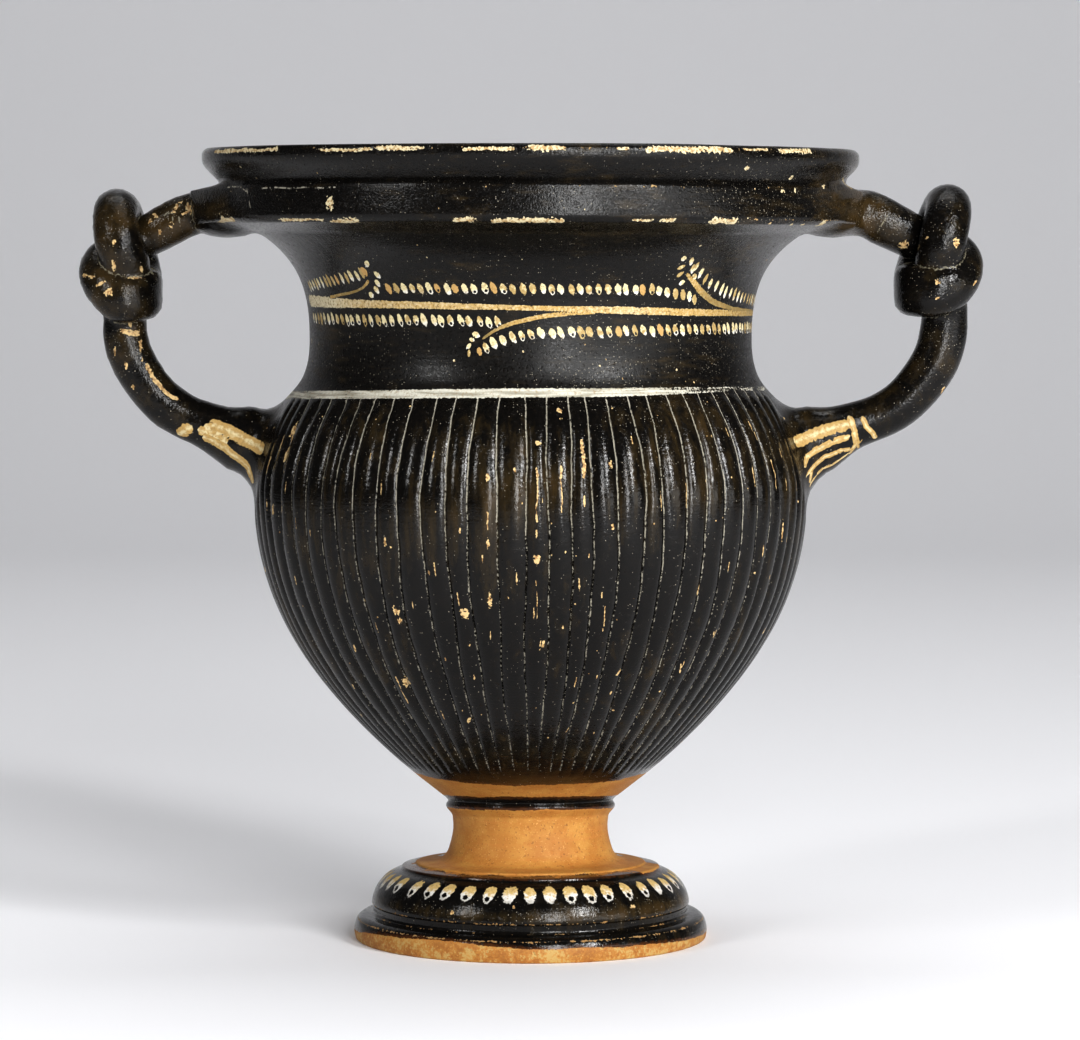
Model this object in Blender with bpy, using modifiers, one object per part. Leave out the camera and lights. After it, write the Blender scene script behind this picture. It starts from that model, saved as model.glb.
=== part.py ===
# Krateriskos: a small two-handled mixing bowl of fired clay, thrown on the wheel, ribbed,
# with a knotted handle on each side, all fired as one piece.
# Frame: origin at the centre of the resting ring, +Z up, handles along X, front towards -Y.
import math

import bmesh
import bpy
import numpy as np

MM = 0.001
WELD_DISTANCE = 0.00001

# Driving dimensions of the turned shape, in millimetres. A pair is (radius, height).
HEIGHT = 159.6
LIP_TOP_RADIUS = 65.2
LIP_EDGE = (66.1, 158.5)
LIP_UNDERSIDE = (65.5, 156.6)
WAIST = (62.6, 152.9)
COLLAR_TOP = (63.2, 151.9)
COLLAR_BOTTOM = (63.4, 145.7)
COLLAR_CHAMFER = (62.4, 144.7)
NECK_TOP = (55.0, 143.1)
NECK_WAIST = (44.6, 121.8)
SHOULDER = (48.8, 110.4)
RIBS_TOP = (49.3, 109.0)
BELLY = (56.0, 91.0)
BODY_BOTTOM = (17.3, 28.6)
STEM_NOTCH = (16.7, 27.9)
STEM_RIDGE = (17.2, 26.8)
STEM_TOP = (15.8, 25.3)
STEM_WAIST = (15.4, 22.5)
STEM_FOOT = (16.7, 17.2)
FILLET_EDGE = (23.3, 15.1)
FILLET_UNDERSIDE = (23.1, 14.2)
TORUS_TOP = (24.4, 14.1)
TORUS_WIDEST = (32.3, 8.2)
TORUS_EDGE = (32.1, 7.2)
FOOT_GROOVE = (31.5, 6.2)
DISC_TOP = (32.4, 5.0)
DISC_SHOULDER = (35.1, 4.0)
DISC_WIDEST = (35.9, 2.0)
RING_OUTER_RADIUS = 35.2
RING_INNER_RADIUS = 29.5
UNDERSIDE_SLOPE = (17.0, 6.5)
UNDERSIDE_APEX = 9.5

# Wall and bowl
BODY_WALL = 4.4
NECK_WALL = 3.4
LIP_INNER_RADIUS = 62.2
LIP_ROUNDING = 0.6
MOUTH_STEP = (58.4, 150.5)
BOWL_FLOOR = 33.4
CUTTER_OVERRUN = 6.0
CUTTER_FLARE = 1.4

# Ribs: convex, with a narrow groove on each side
RIB_COUNT = 72
RIB_GROOVE_SHARE = 0.29
RIB_DEPTH = 0.75
RIBS_END_HEIGHT = 35.5
RIB_RUN_OUT = 5.0
RIB_DEPTH_AT_END = 0.25

SCREW_STEPS = 36
COLUMNS_PER_STEP = 6

# Handle plates, where each strap meets the collar. A tilt lowers the outer end.
PLATE_ANGLE = 24.0
PLATE_PIVOT = (61.0, 148.9)
PLATE_THICKNESS = 6.8
PLATE_ROOT_RADIUS = 58.5
PLATE_EDGE_RADIUS = 62.9
LEFT_PLATE = {"reach": 67.7, "half_width": 8.5, "tilt": 8.0}
RIGHT_PLATE = {"reach": 66.6, "half_width": 7.0, "tilt": 13.0}
PAD_SIZE = (7.0, 9.0, 2.8)
PAD_CENTRE = (61.0, 144.6)

# Handle routes as (distance from the axis, towards the front, height, radius).
# Each runs from the rim through the knot, down the rod and into the body.
LEFT_HANDLE = (
    (56.0, 0.0, 148.2, 3.4),
    (66.4, 0.0, 147.2, 4.3),
    (73.8, -0.2, 144.2, 4.3),
    (81.0, -2.0, 140.0, 4.1),
    (85.6, -2.0, 137.6, 4.1),
    (86.9, 1.2, 134.9, 4.2),
    (84.8, 4.9, 132.3, 4.3),
    (81.3, 5.6, 130.7, 4.4),
    (78.7, 2.6, 130.8, 4.2),
    (78.6, -2.6, 132.2, 4.2),
    (79.7, -6.3, 137.2, 4.2),
    (81.9, -6.0, 143.2, 4.3),
    (83.2, -2.0, 147.1, 4.6),
    (83.2, 3.2, 145.9, 4.6),
    (82.7, 5.6, 141.0, 4.7),
    (82.2, 4.6, 136.4, 4.7),
    (82.0, 1.6, 131.8, 4.5),
    (82.0, 0.0, 126.5, 4.4),
    (80.7, 0.0, 117.8, 4.5),
    (74.0, 0.0, 108.5, 4.5),
    (64.4, 0.0, 104.2, 5.1),
    (54.6, 0.0, 100.2, 8.8),
    (47.0, 0.0, 99.8, 11.0),
)
RIGHT_HANDLE = (
    (56.0, 0.0, 148.2, 3.6),
    (66.4, 0.0, 146.9, 4.4),
    (73.6, -0.2, 143.8, 4.4),
    (80.0, -1.8, 140.8, 4.2),
    (85.4, -2.0, 139.0, 4.3),
    (86.8, 1.2, 136.4, 4.4),
    (85.0, 5.0, 133.2, 4.5),
    (81.2, 6.0, 131.4, 4.7),
    (78.4, 3.4, 131.4, 4.6),
    (78.0, -2.0, 132.6, 4.5),
    (79.4, -6.3, 137.8, 4.3),
    (82.2, -6.0, 143.8, 4.4),
    (84.0, -2.0, 147.9, 4.7),
    (83.9, 3.2, 146.6, 4.7),
    (82.8, 5.8, 141.8, 4.8),
    (82.0, 4.8, 137.0, 4.8),
    (82.6, 1.6, 131.8, 4.7),
    (83.6, 0.0, 126.5, 4.6),
    (82.0, 0.0, 117.6, 4.8),
    (74.6, 0.0, 108.3, 4.6),
    (64.4, 0.0, 104.2, 5.1),
    (54.6, 0.0, 100.0, 8.8),
    (47.0, 0.0, 99.8, 11.0),
)
HANDLE_SAMPLES = 2
HANDLE_ROUNDNESS = 3

SAME_RADIUS = 0.01
SHARP_ANGLE = math.radians(38.0)


def clear_objects():
    for thing in list(bpy.data.objects):
        bpy.data.objects.remove(thing, do_unlink=True)


def new_collection(name):
    collection = bpy.data.collections.new(name)
    bpy.context.scene.collection.children.link(collection)
    return collection


def new_material(name, colour, roughness):
    material = bpy.data.materials.new(name)
    material.use_nodes = True
    shader = material.node_tree.nodes["Principled BSDF"]
    shader.inputs["Base Color"].default_value = (*colour, 1.0)
    shader.inputs["Roughness"].default_value = roughness
    shader.inputs["Metallic"].default_value = 0.0
    material.diffuse_color = (*colour, 1.0)
    return material


def bezier(start, start_pull, end_pull, end, parts, first=0.0, last=1.0):
    """Points of a cubic curve from first to last, without the one at first."""
    corners = np.array((start, start_pull, end_pull, end))
    points = []
    for step in range(1, parts + 1):
        t = first + (last - first) * step / parts
        weights = ((1 - t) ** 3, 3 * t * (1 - t) ** 2, 3 * t * t * (1 - t), t**3)
        points.append(tuple(np.dot(weights, corners)))
    return points


# The curves of the outside, as (start, pull, pull, end)
NECK_UPPER = (NECK_TOP, (46.5, 137.6), (44.6, 131.4), NECK_WAIST)
NECK_LOWER = (NECK_WAIST, (44.6, 117.2), (45.4, 113.0), SHOULDER)
SHOULDER_CURVE = (RIBS_TOP, (52.2, 103.8), (56.0, 97.4), BELLY)
BODY_CURVE = (BELLY, (56.0, 70.1), (46.3, 51.0), BODY_BOTTOM)


def inset(curve, wall, parts, first=0.0, last=1.0):
    """Points inside a curve of the outside, a wall's thickness in from it."""
    slight = 0.001
    points = []
    for step in range(parts + 1):
        t = first + (last - first) * step / parts
        before = np.array(bezier(*curve, 1, last=max(t - slight, 0.0))[0])
        after = np.array(bezier(*curve, 1, last=min(t + slight, 1.0))[0])
        along = (after - before) / np.linalg.norm(after - before)
        middle = (before + after) / 2
        points.append((middle[0] + along[1] * wall, middle[1] - along[0] * wall))
    return points


def body_curve_at(height):
    """Share of the body curve where it passes a height."""
    low = 0.0
    high = 1.0
    while high - low > 0.0001:
        middle = (low + high) / 2
        if bezier(*BODY_CURVE, 1, last=middle)[0][1] > height:
            low = middle
        else:
            high = middle
    return low


def outside_profile():
    """Profile of the outside, top to bottom, and the rings that carry the ribs."""
    ribs_end = body_curve_at(RIBS_END_HEIGHT)
    rim = [(LIP_TOP_RADIUS, HEIGHT), LIP_EDGE, LIP_UNDERSIDE, WAIST, COLLAR_TOP]
    rim += [COLLAR_BOTTOM, COLLAR_CHAMFER]
    neck = [NECK_TOP]
    neck += bezier(*NECK_UPPER, 4)
    neck += bezier(*NECK_LOWER, 3)
    ribbed = [RIBS_TOP]
    ribbed += bezier(*SHOULDER_CURVE, 2)
    ribbed += bezier(*BODY_CURVE, 6, last=ribs_end)
    lower = bezier(*BODY_CURVE, 1, first=ribs_end)
    lower += [STEM_NOTCH, STEM_RIDGE, STEM_TOP, STEM_WAIST]
    lower += bezier(STEM_WAIST, (15.5, 19.8), (16.2, 18.0), STEM_FOOT, 2)
    lower += bezier(STEM_FOOT, (17.4, 15.4), (20.0, 15.3), FILLET_EDGE, 2)
    lower += [FILLET_UNDERSIDE, TORUS_TOP]
    lower += bezier(TORUS_TOP, (28.6, 13.6), (32.1, 11.6), TORUS_WIDEST, 4)
    lower += [TORUS_EDGE, FOOT_GROOVE, DISC_TOP, DISC_SHOULDER, DISC_WIDEST]
    lower += [(RING_OUTER_RADIUS, 0.0), (RING_INNER_RADIUS, 0.0)]
    lower += [UNDERSIDE_SLOPE, (0.0, UNDERSIDE_APEX)]
    profile = [(0.0, HEIGHT)] + rim + neck + ribbed + lower
    return profile, ribbed


def bowl_profile():
    """Profile of the space inside the wall, top to bottom, open above the mouth."""
    profile = [(0.0, HEIGHT + CUTTER_OVERRUN)]
    profile += [(LIP_INNER_RADIUS + CUTTER_FLARE, HEIGHT + CUTTER_OVERRUN)]
    profile += [(LIP_INNER_RADIUS, HEIGHT - LIP_ROUNDING), MOUTH_STEP]
    profile += inset(NECK_UPPER, NECK_WALL, 3)
    profile += inset(NECK_LOWER, NECK_WALL, 1, first=0.5)
    profile += inset(SHOULDER_CURVE, BODY_WALL, 1, first=0.25, last=0.7)
    profile += inset(BODY_CURVE, BODY_WALL, 4, last=0.9)
    profile += [(0.0, BOWL_FLOOR)]
    return profile


def turn(name, profile, steps):
    """A turned solid: the profile carried once around the Z axis."""
    mesh = bpy.data.meshes.new(name)
    corners = [(radius * MM, 0.0, height * MM) for radius, height in profile]
    edges = [(i, i + 1) for i in range(len(corners) - 1)]
    mesh.from_pydata(corners, edges, [])
    blank = bpy.data.objects.new(name, mesh)
    bpy.context.scene.collection.objects.link(blank)
    screw = blank.modifiers.new("turning", "SCREW")
    screw.steps = steps
    screw.render_steps = steps
    screw.use_merge_vertices = True
    screw.merge_threshold = WELD_DISTANCE
    return made_real(blank)


def made_real(blank):
    """Replaces an object or curve by its evaluated mesh, with loose caps welded."""
    bpy.context.view_layer.update()
    seen = blank.evaluated_get(bpy.context.evaluated_depsgraph_get())
    mesh = bpy.data.meshes.new_from_object(seen)
    name = blank.name
    place = blank.matrix_world.copy()
    bpy.data.objects.remove(blank, do_unlink=True)
    shape = bmesh.new()
    shape.from_mesh(mesh)
    bmesh.ops.remove_doubles(shape, verts=shape.verts, dist=WELD_DISTANCE)
    shape.to_mesh(mesh)
    shape.free()
    thing = bpy.data.objects.new(name, mesh)
    thing.matrix_world = place
    return thing


def ring_edges(shape, rings):
    """Edges that lie along the given rings, each a (radius, height)."""
    found = []
    for edge in shape.edges:
        one, other = (vertex.co for vertex in edge.verts)
        if abs(one.z - other.z) > SAME_RADIUS * MM:
            continue
        for radius, height in rings:
            near = abs(one.z - height * MM) < SAME_RADIUS * MM
            if near and abs(math.hypot(one.x, one.y) - radius * MM) < SAME_RADIUS * MM:
                found.append(edge)
                break
    return found


def split_rings(shape, rings):
    """Cuts the edges of the rings and puts the new points on the circles."""
    cut = bmesh.ops.subdivide_edges(
        shape, edges=ring_edges(shape, rings), cuts=COLUMNS_PER_STEP - 1, use_grid_fill=True
    )
    pitch = 2 * math.pi / (SCREW_STEPS * COLUMNS_PER_STEP)
    radii = {round(height, 3): radius * MM for radius, height in rings}
    for vertex in cut["geom_inner"]:
        if not isinstance(vertex, bmesh.types.BMVert):
            continue
        radius = radii[round(vertex.co.z / MM, 3)]
        angle = round(math.atan2(vertex.co.y, vertex.co.x) / pitch) * pitch
        vertex.co.x = radius * math.cos(angle)
        vertex.co.y = radius * math.sin(angle)


def rib_depth(radius, height):
    """Depth of the grooves at a height: shallower where the ribs run close together."""
    run_out = min(1.0, (height - RIBS_END_HEIGHT) / RIB_RUN_OUT + RIB_DEPTH_AT_END)
    crowding = min(1.0, radius / BELLY[0] + 0.2)
    return RIB_DEPTH * run_out * crowding


def carve_ribs(shape, ribbed):
    """Pulls every third column in to a groove and moves its neighbours towards it."""
    columns = SCREW_STEPS * COLUMNS_PER_STEP
    pitch = 2 * math.pi / columns
    columns_per_rib = columns // RIB_COUNT
    rib_pitch = pitch * columns_per_rib
    radii = {round(height, 3): radius for radius, height in ribbed}
    for vertex in shape.verts:
        radius = radii.get(round(vertex.co.z / MM, 3))
        if radius is None:
            continue
        column = round(math.atan2(vertex.co.y, vertex.co.x) / pitch) % columns
        rib, place = divmod(column, columns_per_rib)
        angle = rib * rib_pitch
        new_radius = radius
        if place == 0:
            new_radius -= rib_depth(radius, vertex.co.z / MM)
        elif place == 1:
            angle += RIB_GROOVE_SHARE * rib_pitch
        else:
            angle += (1 - RIB_GROOVE_SHARE) * rib_pitch
        vertex.co.x = new_radius * MM * math.cos(angle)
        vertex.co.y = new_radius * MM * math.sin(angle)


def ribbed_body():
    """The outside of the vessel as a solid, still without its bowl and handles."""
    profile, ribbed = outside_profile()
    body = turn("krateriskos", profile, SCREW_STEPS)
    shape = bmesh.new()
    shape.from_mesh(body.data)
    split_rings(shape, ribbed)
    carve_ribs(shape, ribbed)
    bmesh.ops.recalc_face_normals(shape, faces=shape.faces)
    shape.to_mesh(body.data)
    shape.free()
    return body


def smooth_route(points, samples):
    """Points of a smooth curve through the route's own points."""
    route = np.array(points)
    ends = np.vstack((2 * route[0] - route[1], route, 2 * route[-1] - route[-2]))
    smooth = []
    for i in range(len(route) - 1):
        a, b, c, d = ends[i : i + 4]
        for step in range(samples):
            t = step / samples
            bend = (2 * a - 5 * b + 4 * c - d) * t**2 + (3 * b - a - 3 * c + d) * t**3
            smooth.append((2 * b + (c - a) * t + bend) / 2)
    smooth.append(route[-1])
    return smooth


def handle(name, side, route):
    """A handle as one tube of changing thickness, side being -1 for left and 1 for right."""
    points = smooth_route(route, HANDLE_SAMPLES)
    curve = bpy.data.curves.new(name, "CURVE")
    curve.dimensions = "3D"
    curve.bevel_depth = MM
    curve.bevel_resolution = HANDLE_ROUNDNESS
    curve.use_fill_caps = True
    spline = curve.splines.new("POLY")
    spline.points.add(len(points) - 1)
    for point, (out, front, height, radius) in zip(spline.points, points):
        point.co = (side * out * MM, -front * MM, height * MM, 1.0)
        point.radius = radius
    thing = bpy.data.objects.new(name, curve)
    bpy.context.scene.collection.objects.link(thing)
    return made_real(thing)


def plate(name, side, size):
    """The plate that carries a strap: from the collar out to the strap's end face."""
    root = math.radians(PLATE_ANGLE)
    outline = []
    for angle in np.linspace(root, -root, 5):
        outline.append((PLATE_ROOT_RADIUS * math.cos(angle), PLATE_ROOT_RADIUS * math.sin(angle)))
    near = PLATE_EDGE_RADIUS * math.cos(root)
    wide = PLATE_EDGE_RADIUS * math.sin(root)
    outline += [(near, -wide), (size["reach"], -size["half_width"])]
    outline += [(size["reach"], size["half_width"]), (near, wide)]
    curve = bpy.data.curves.new(name, "CURVE")
    curve.dimensions = "2D"
    curve.fill_mode = "BOTH"
    curve.extrude = PLATE_THICKNESS / 2 * MM
    spline = curve.splines.new("POLY")
    spline.points.add(len(outline) - 1)
    for point, (out, across) in zip(spline.points, outline):
        point.co = (side * (out - PLATE_PIVOT[0]) * MM, across * MM, 0.0, 1.0)
    spline.use_cyclic_u = True
    thing = bpy.data.objects.new(name, curve)
    thing.location = (side * PLATE_PIVOT[0] * MM, 0.0, PLATE_PIVOT[1] * MM)
    thing.rotation_euler.y = side * math.radians(size["tilt"])
    bpy.context.scene.collection.objects.link(thing)
    return made_real(thing)


def pad(name, side):
    """The flattened lump of clay pressed on under a plate."""
    shape = bmesh.new()
    bmesh.ops.create_uvsphere(shape, u_segments=12, v_segments=6, radius=1.0)
    bmesh.ops.scale(shape, vec=[size * MM for size in PAD_SIZE], verts=shape.verts)
    mesh = bpy.data.meshes.new(name)
    shape.to_mesh(mesh)
    shape.free()
    thing = bpy.data.objects.new(name, mesh)
    thing.location = (side * PAD_CENTRE[0] * MM, 0.0, PAD_CENTRE[1] * MM)
    return thing


def join(body, piece, operation):
    """Adds a piece to the body, or cuts it away."""
    step = body.modifiers.new(piece.name, "BOOLEAN")
    step.operation = operation
    step.solver = "EXACT"
    step.use_self = True
    step.object = piece
    piece.hide_render = True
    piece.display_type = "WIRE"


def main():
    clear_objects()
    vessel = new_collection("krateriskos")
    shapes = new_collection("joining and cutting shapes")
    gloss = new_material("black_gloss", (0.016, 0.013, 0.010), 0.28)
    body = ribbed_body()
    vessel.objects.link(body)
    body.data.materials.append(gloss)

    joined = []
    for word, side, route, size in (
        ("left", -1, LEFT_HANDLE, LEFT_PLATE),
        ("right", 1, RIGHT_HANDLE, RIGHT_PLATE),
    ):
        joined.append(plate(f"plate_{word}", side, size))
        joined.append(pad(f"pad_{word}", side))
        joined.append(handle(f"handle_{word}", side, route))
    for piece in joined:
        shapes.objects.link(piece)
        join(body, piece, "UNION")
    bowl = turn("bowl_space", bowl_profile(), SCREW_STEPS)
    shapes.objects.link(bowl)
    join(body, bowl, "DIFFERENCE")

    body.data.shade_smooth()
    body.data.set_sharp_from_angle(angle=SHARP_ANGLE)


main()
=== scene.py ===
import math
import random

import bmesh
import bpy
import numpy as np
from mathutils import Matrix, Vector, noise
from mathutils.bvhtree import BVHTree
from mathutils.kdtree import KDTree


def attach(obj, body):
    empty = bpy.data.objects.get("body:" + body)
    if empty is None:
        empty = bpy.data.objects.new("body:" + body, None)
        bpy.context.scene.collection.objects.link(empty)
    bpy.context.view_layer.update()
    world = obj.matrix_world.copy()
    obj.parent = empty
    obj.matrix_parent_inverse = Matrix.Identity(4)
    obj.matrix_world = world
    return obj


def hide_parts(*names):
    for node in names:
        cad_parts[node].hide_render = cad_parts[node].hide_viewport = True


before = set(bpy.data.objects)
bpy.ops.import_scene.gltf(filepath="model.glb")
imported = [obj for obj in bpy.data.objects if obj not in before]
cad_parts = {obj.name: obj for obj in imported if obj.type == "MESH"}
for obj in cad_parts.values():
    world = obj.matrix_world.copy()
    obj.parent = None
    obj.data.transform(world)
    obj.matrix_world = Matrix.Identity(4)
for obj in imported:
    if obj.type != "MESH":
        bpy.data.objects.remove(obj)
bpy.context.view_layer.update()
mm = 0.001
dice = random.Random(11)


def intoScene(name, data):
    thing = bpy.data.objects.new(name, data)
    bpy.context.scene.collection.objects.link(thing)
    return thing


# camera, at the photograph's height and distance
cameraView = {
    "place": (0.00192, -0.918, 0.1436),
    "tiltDown": 3.66,  # degrees
    "lens": 151.4,
    "sensor": 36,
}
cameraData = bpy.data.cameras.new("camera")
cameraData.lens = cameraView["lens"]
cameraData.sensor_width = cameraView["sensor"]
cameraData.sensor_fit = "HORIZONTAL"
cameraData.clip_start = 0.05
camera = intoScene("camera", cameraData)
camera.location = cameraView["place"]
camera.rotation_euler = (math.radians(90 - cameraView["tiltDown"]), 0, 0)
bpy.context.scene.camera = camera


# soft studio light: a tall softbox on each side and one just right of the camera, a low wide panel on
# the right, and a card low behind the camera
lamps = {
    "softboxLeft": {"place": (-0.74, -0.6, 0.53), "aim": (0, 0, 0.09), "size": (0.1, 0.36), "watts": 2.8},
    "softboxRight": {"place": (0.64, -0.74, 0.55), "aim": (0, 0, 0.09), "size": (0.12, 0.42), "watts": 7.8},
    "softboxFront": {"place": (0.3, -1.02, 0.35), "aim": (0, 0, 0.1), "size": (0.17, 0.68), "watts": 8.0},
    "panelRight": {"place": (0.85, -0.67, 0.16), "aim": (0, 0, 0.1), "size": (0.75, 0.2), "watts": 2.1},
    "lowCard": {"place": (0.25, -1.02, 0.1), "aim": (0, 0, 0.06), "size": (0.8, 0.18), "watts": 0.4},
    "overhead": {"place": (0.15, 0.1, 1.25), "aim": (0, 0, 0.05), "size": (1.0, 0.8), "watts": 3.2},
    "backdropLamp": {"place": (0.0, 0.5, 1.5), "aim": (0, 1.5, 0.1), "size": (1.6, 0.5), "watts": 8},
}
for lampName, lamp in lamps.items():
    lampData = bpy.data.lights.new(lampName, "AREA")
    lampData.shape = "RECTANGLE"
    lampData.size, lampData.size_y = lamp["size"]
    lampData.energy = lamp["watts"]
    lampObject = intoScene(lampName, lampData)
    lampObject.location = lamp["place"]
    towards = Vector(lamp["aim"]) - Vector(lamp["place"])
    lampObject.rotation_euler = towards.to_track_quat("-Z", "Y").to_euler()

studio = {"ambient": (0.64, 0.645, 0.66, 1), "strength": 0.11, "gamma": 0.85}
world = bpy.data.worlds.new("studio")
world.use_nodes = True
ambient = world.node_tree.nodes["Background"].inputs
ambient["Color"].default_value = studio["ambient"]
ambient["Strength"].default_value = studio["strength"]
bpy.context.scene.world = world
bpy.context.scene.view_settings.view_transform = "Standard"
bpy.context.scene.view_settings.gamma = studio["gamma"]
print("camera and", len(lamps), "lamps placed")


def colour(red, green, blue):  # 0 to 255, as read off a screen
    def linear(level):
        level = level / 255
        return level / 12.92 if level < 0.04045 else ((level + 0.055) / 1.055) ** 2.4
    return (linear(red), linear(green), linear(blue), 1.0)


finestGrain = 6.5  # waves to a millimetre: finer layers than a pixel shows are left out of a grain


# a value that a material works out at each point of a surface: sums written with it become nodes
class Level:
    def __init__(self, bench, socket):
        self.bench = bench
        self.socket = socket

    def __add__(self, other):
        return self.bench.maths("ADD", self, other)

    def __mul__(self, other):
        return self.bench.maths("MULTIPLY", self, other)

    def __sub__(self, other):
        return self.bench.maths("SUBTRACT", self, other)

    def __rsub__(self, other):
        return self.bench.maths("SUBTRACT", other, self)

    def __truediv__(self, other):
        return self.bench.maths("DIVIDE", self, other)

    def __rtruediv__(self, other):
        return self.bench.maths("DIVIDE", other, self)

    def __pow__(self, other):
        return self.bench.maths("POWER", self, other)

    def __abs__(self):
        return self.bench.maths("ABSOLUTE", self)


# short ways to write a material's nodes
class Workbench:
    def __init__(self, name):
        self.material = bpy.data.materials.new(name)
        self.material.use_nodes = True
        self.tree = self.material.node_tree
        self.shader = self.tree.nodes["Principled BSDF"]

    def put(self, kind, inputs, **settings):
        node = self.tree.nodes.new(kind)
        for setting, value in settings.items():
            setattr(node, setting, value)
        for socket, value in inputs.items():
            self.feed(node.inputs[socket], value)
        return node

    def feed(self, socket, value):
        if isinstance(value, Level):
            value = value.socket
        if isinstance(value, bpy.types.NodeSocket):
            self.tree.links.new(value, socket)
        else:
            socket.default_value = value

    def maths(self, operation, *values):
        node = self.put("ShaderNodeMath", dict(enumerate(values)), operation=operation)
        return Level(self, node.outputs[0])

    def larger(self, first, *others):
        for other in others:
            first = self.maths("MAXIMUM", first, other)
        return first

    def blend(self, share, first, second):  # tones are given as read off a screen, or as levels
        node = self.put("ShaderNodeMix", {}, data_type="RGBA")
        for socket, value in ((0, share), (6, first), (7, second)):
            self.feed(node.inputs[socket], colour(*value) if isinstance(value, tuple) else value)
        return Level(self, node.outputs[2])

    def ease(self, value, low, high):  # 0 below low, 1 above high, smooth between
        node = self.put("ShaderNodeMapRange", {0: value, 1: low, 2: high}, interpolation_type="SMOOTHSTEP")
        return Level(self, node.outputs[0])

    def grain(self, place, scale, layers=3, rough=0.5, stretch=None):
        if stretch:
            place = self.put("ShaderNodeMapping", {"Vector": place, "Scale": stretch}).outputs[0]
        finest = scale * max(stretch or (1,))
        seen = min(layers, max(0, int(math.log2(finestGrain / finest))))

        def spread(count):
            return math.hypot(*(rough**k for k in range(count + 1))) / sum(rough**k for k in range(count + 1))

        calm = spread(layers) / spread(seen)
        inputs = {"Vector": place, "Scale": scale, "Detail": seen, "Roughness": rough}
        value = Level(self, self.put("ShaderNodeTexNoise", inputs).outputs["Fac"])
        return value * calm + (0.5 - 0.5 * calm)

    def spots(self, place, scale, share, radius):  # scattered round specks, on a share of the cells
        cells = self.put("ShaderNodeTexVoronoi", {"Vector": place, "Scale": scale})
        pick = self.put("ShaderNodeSeparateColor", {0: cells.outputs["Color"]})
        kept = self.maths("LESS_THAN", pick.outputs[0], share)
        size = self.maths("MULTIPLY_ADD", pick.outputs[1], radius * 0.7, radius * 0.3)
        return kept * self.maths("LESS_THAN", cells.outputs["Distance"], size)

    def millimetres(self):
        place = self.put("ShaderNodeTexCoord", {}).outputs["Object"]
        return self.put("ShaderNodeVectorMath", {0: place, "Scale": 1000.0}, operation="SCALE").outputs[0]

    def field(self, name, output="Fac"):
        return Level(self, self.put("ShaderNodeAttribute", {}, attribute_name=name).outputs[output])


# floor that curves up into a backdrop
sweep = {
    "width": 5.0, "front": -2.4, "bendStart": 1.1, "bendRadius": 0.9, "top": 2.6, "bendParts": 16,
    "paper": (249, 249, 251.5), "roughness": 0.82, "specular": 0.25,
}


def floorMaterial():
    bench = Workbench("pale_paper")
    bench.shader.inputs["Base Color"].default_value = colour(*sweep["paper"])
    bench.shader.inputs["Roughness"].default_value = sweep["roughness"]
    bench.shader.inputs["Specular IOR Level"].default_value = sweep["specular"]
    return bench.material


outline = [(sweep["front"], 0.0), (sweep["bendStart"], 0.0)]
for part in range(1, sweep["bendParts"] + 1):
    turn = math.pi / 2 * part / sweep["bendParts"]
    outline.append((
        sweep["bendStart"] + sweep["bendRadius"] * math.sin(turn),
        sweep["bendRadius"] * (1 - math.cos(turn)),
    ))
outline.append((sweep["bendStart"] + sweep["bendRadius"], sweep["top"]))
half = sweep["width"] / 2
floorPoints = [(x, y, z) for y, z in outline for x in (-half, half)]
floorFaces = [(2 * i, 2 * i + 1, 2 * i + 3, 2 * i + 2) for i in range(len(outline) - 1)]
floorMesh = bpy.data.meshes.new("floor")
floorMesh.from_pydata(floorPoints, [], floorFaces)
floorMesh.shade_smooth()
floorMesh.materials.append(floorMaterial())
intoScene("floor", floorMesh)
print("floor laid")


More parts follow.
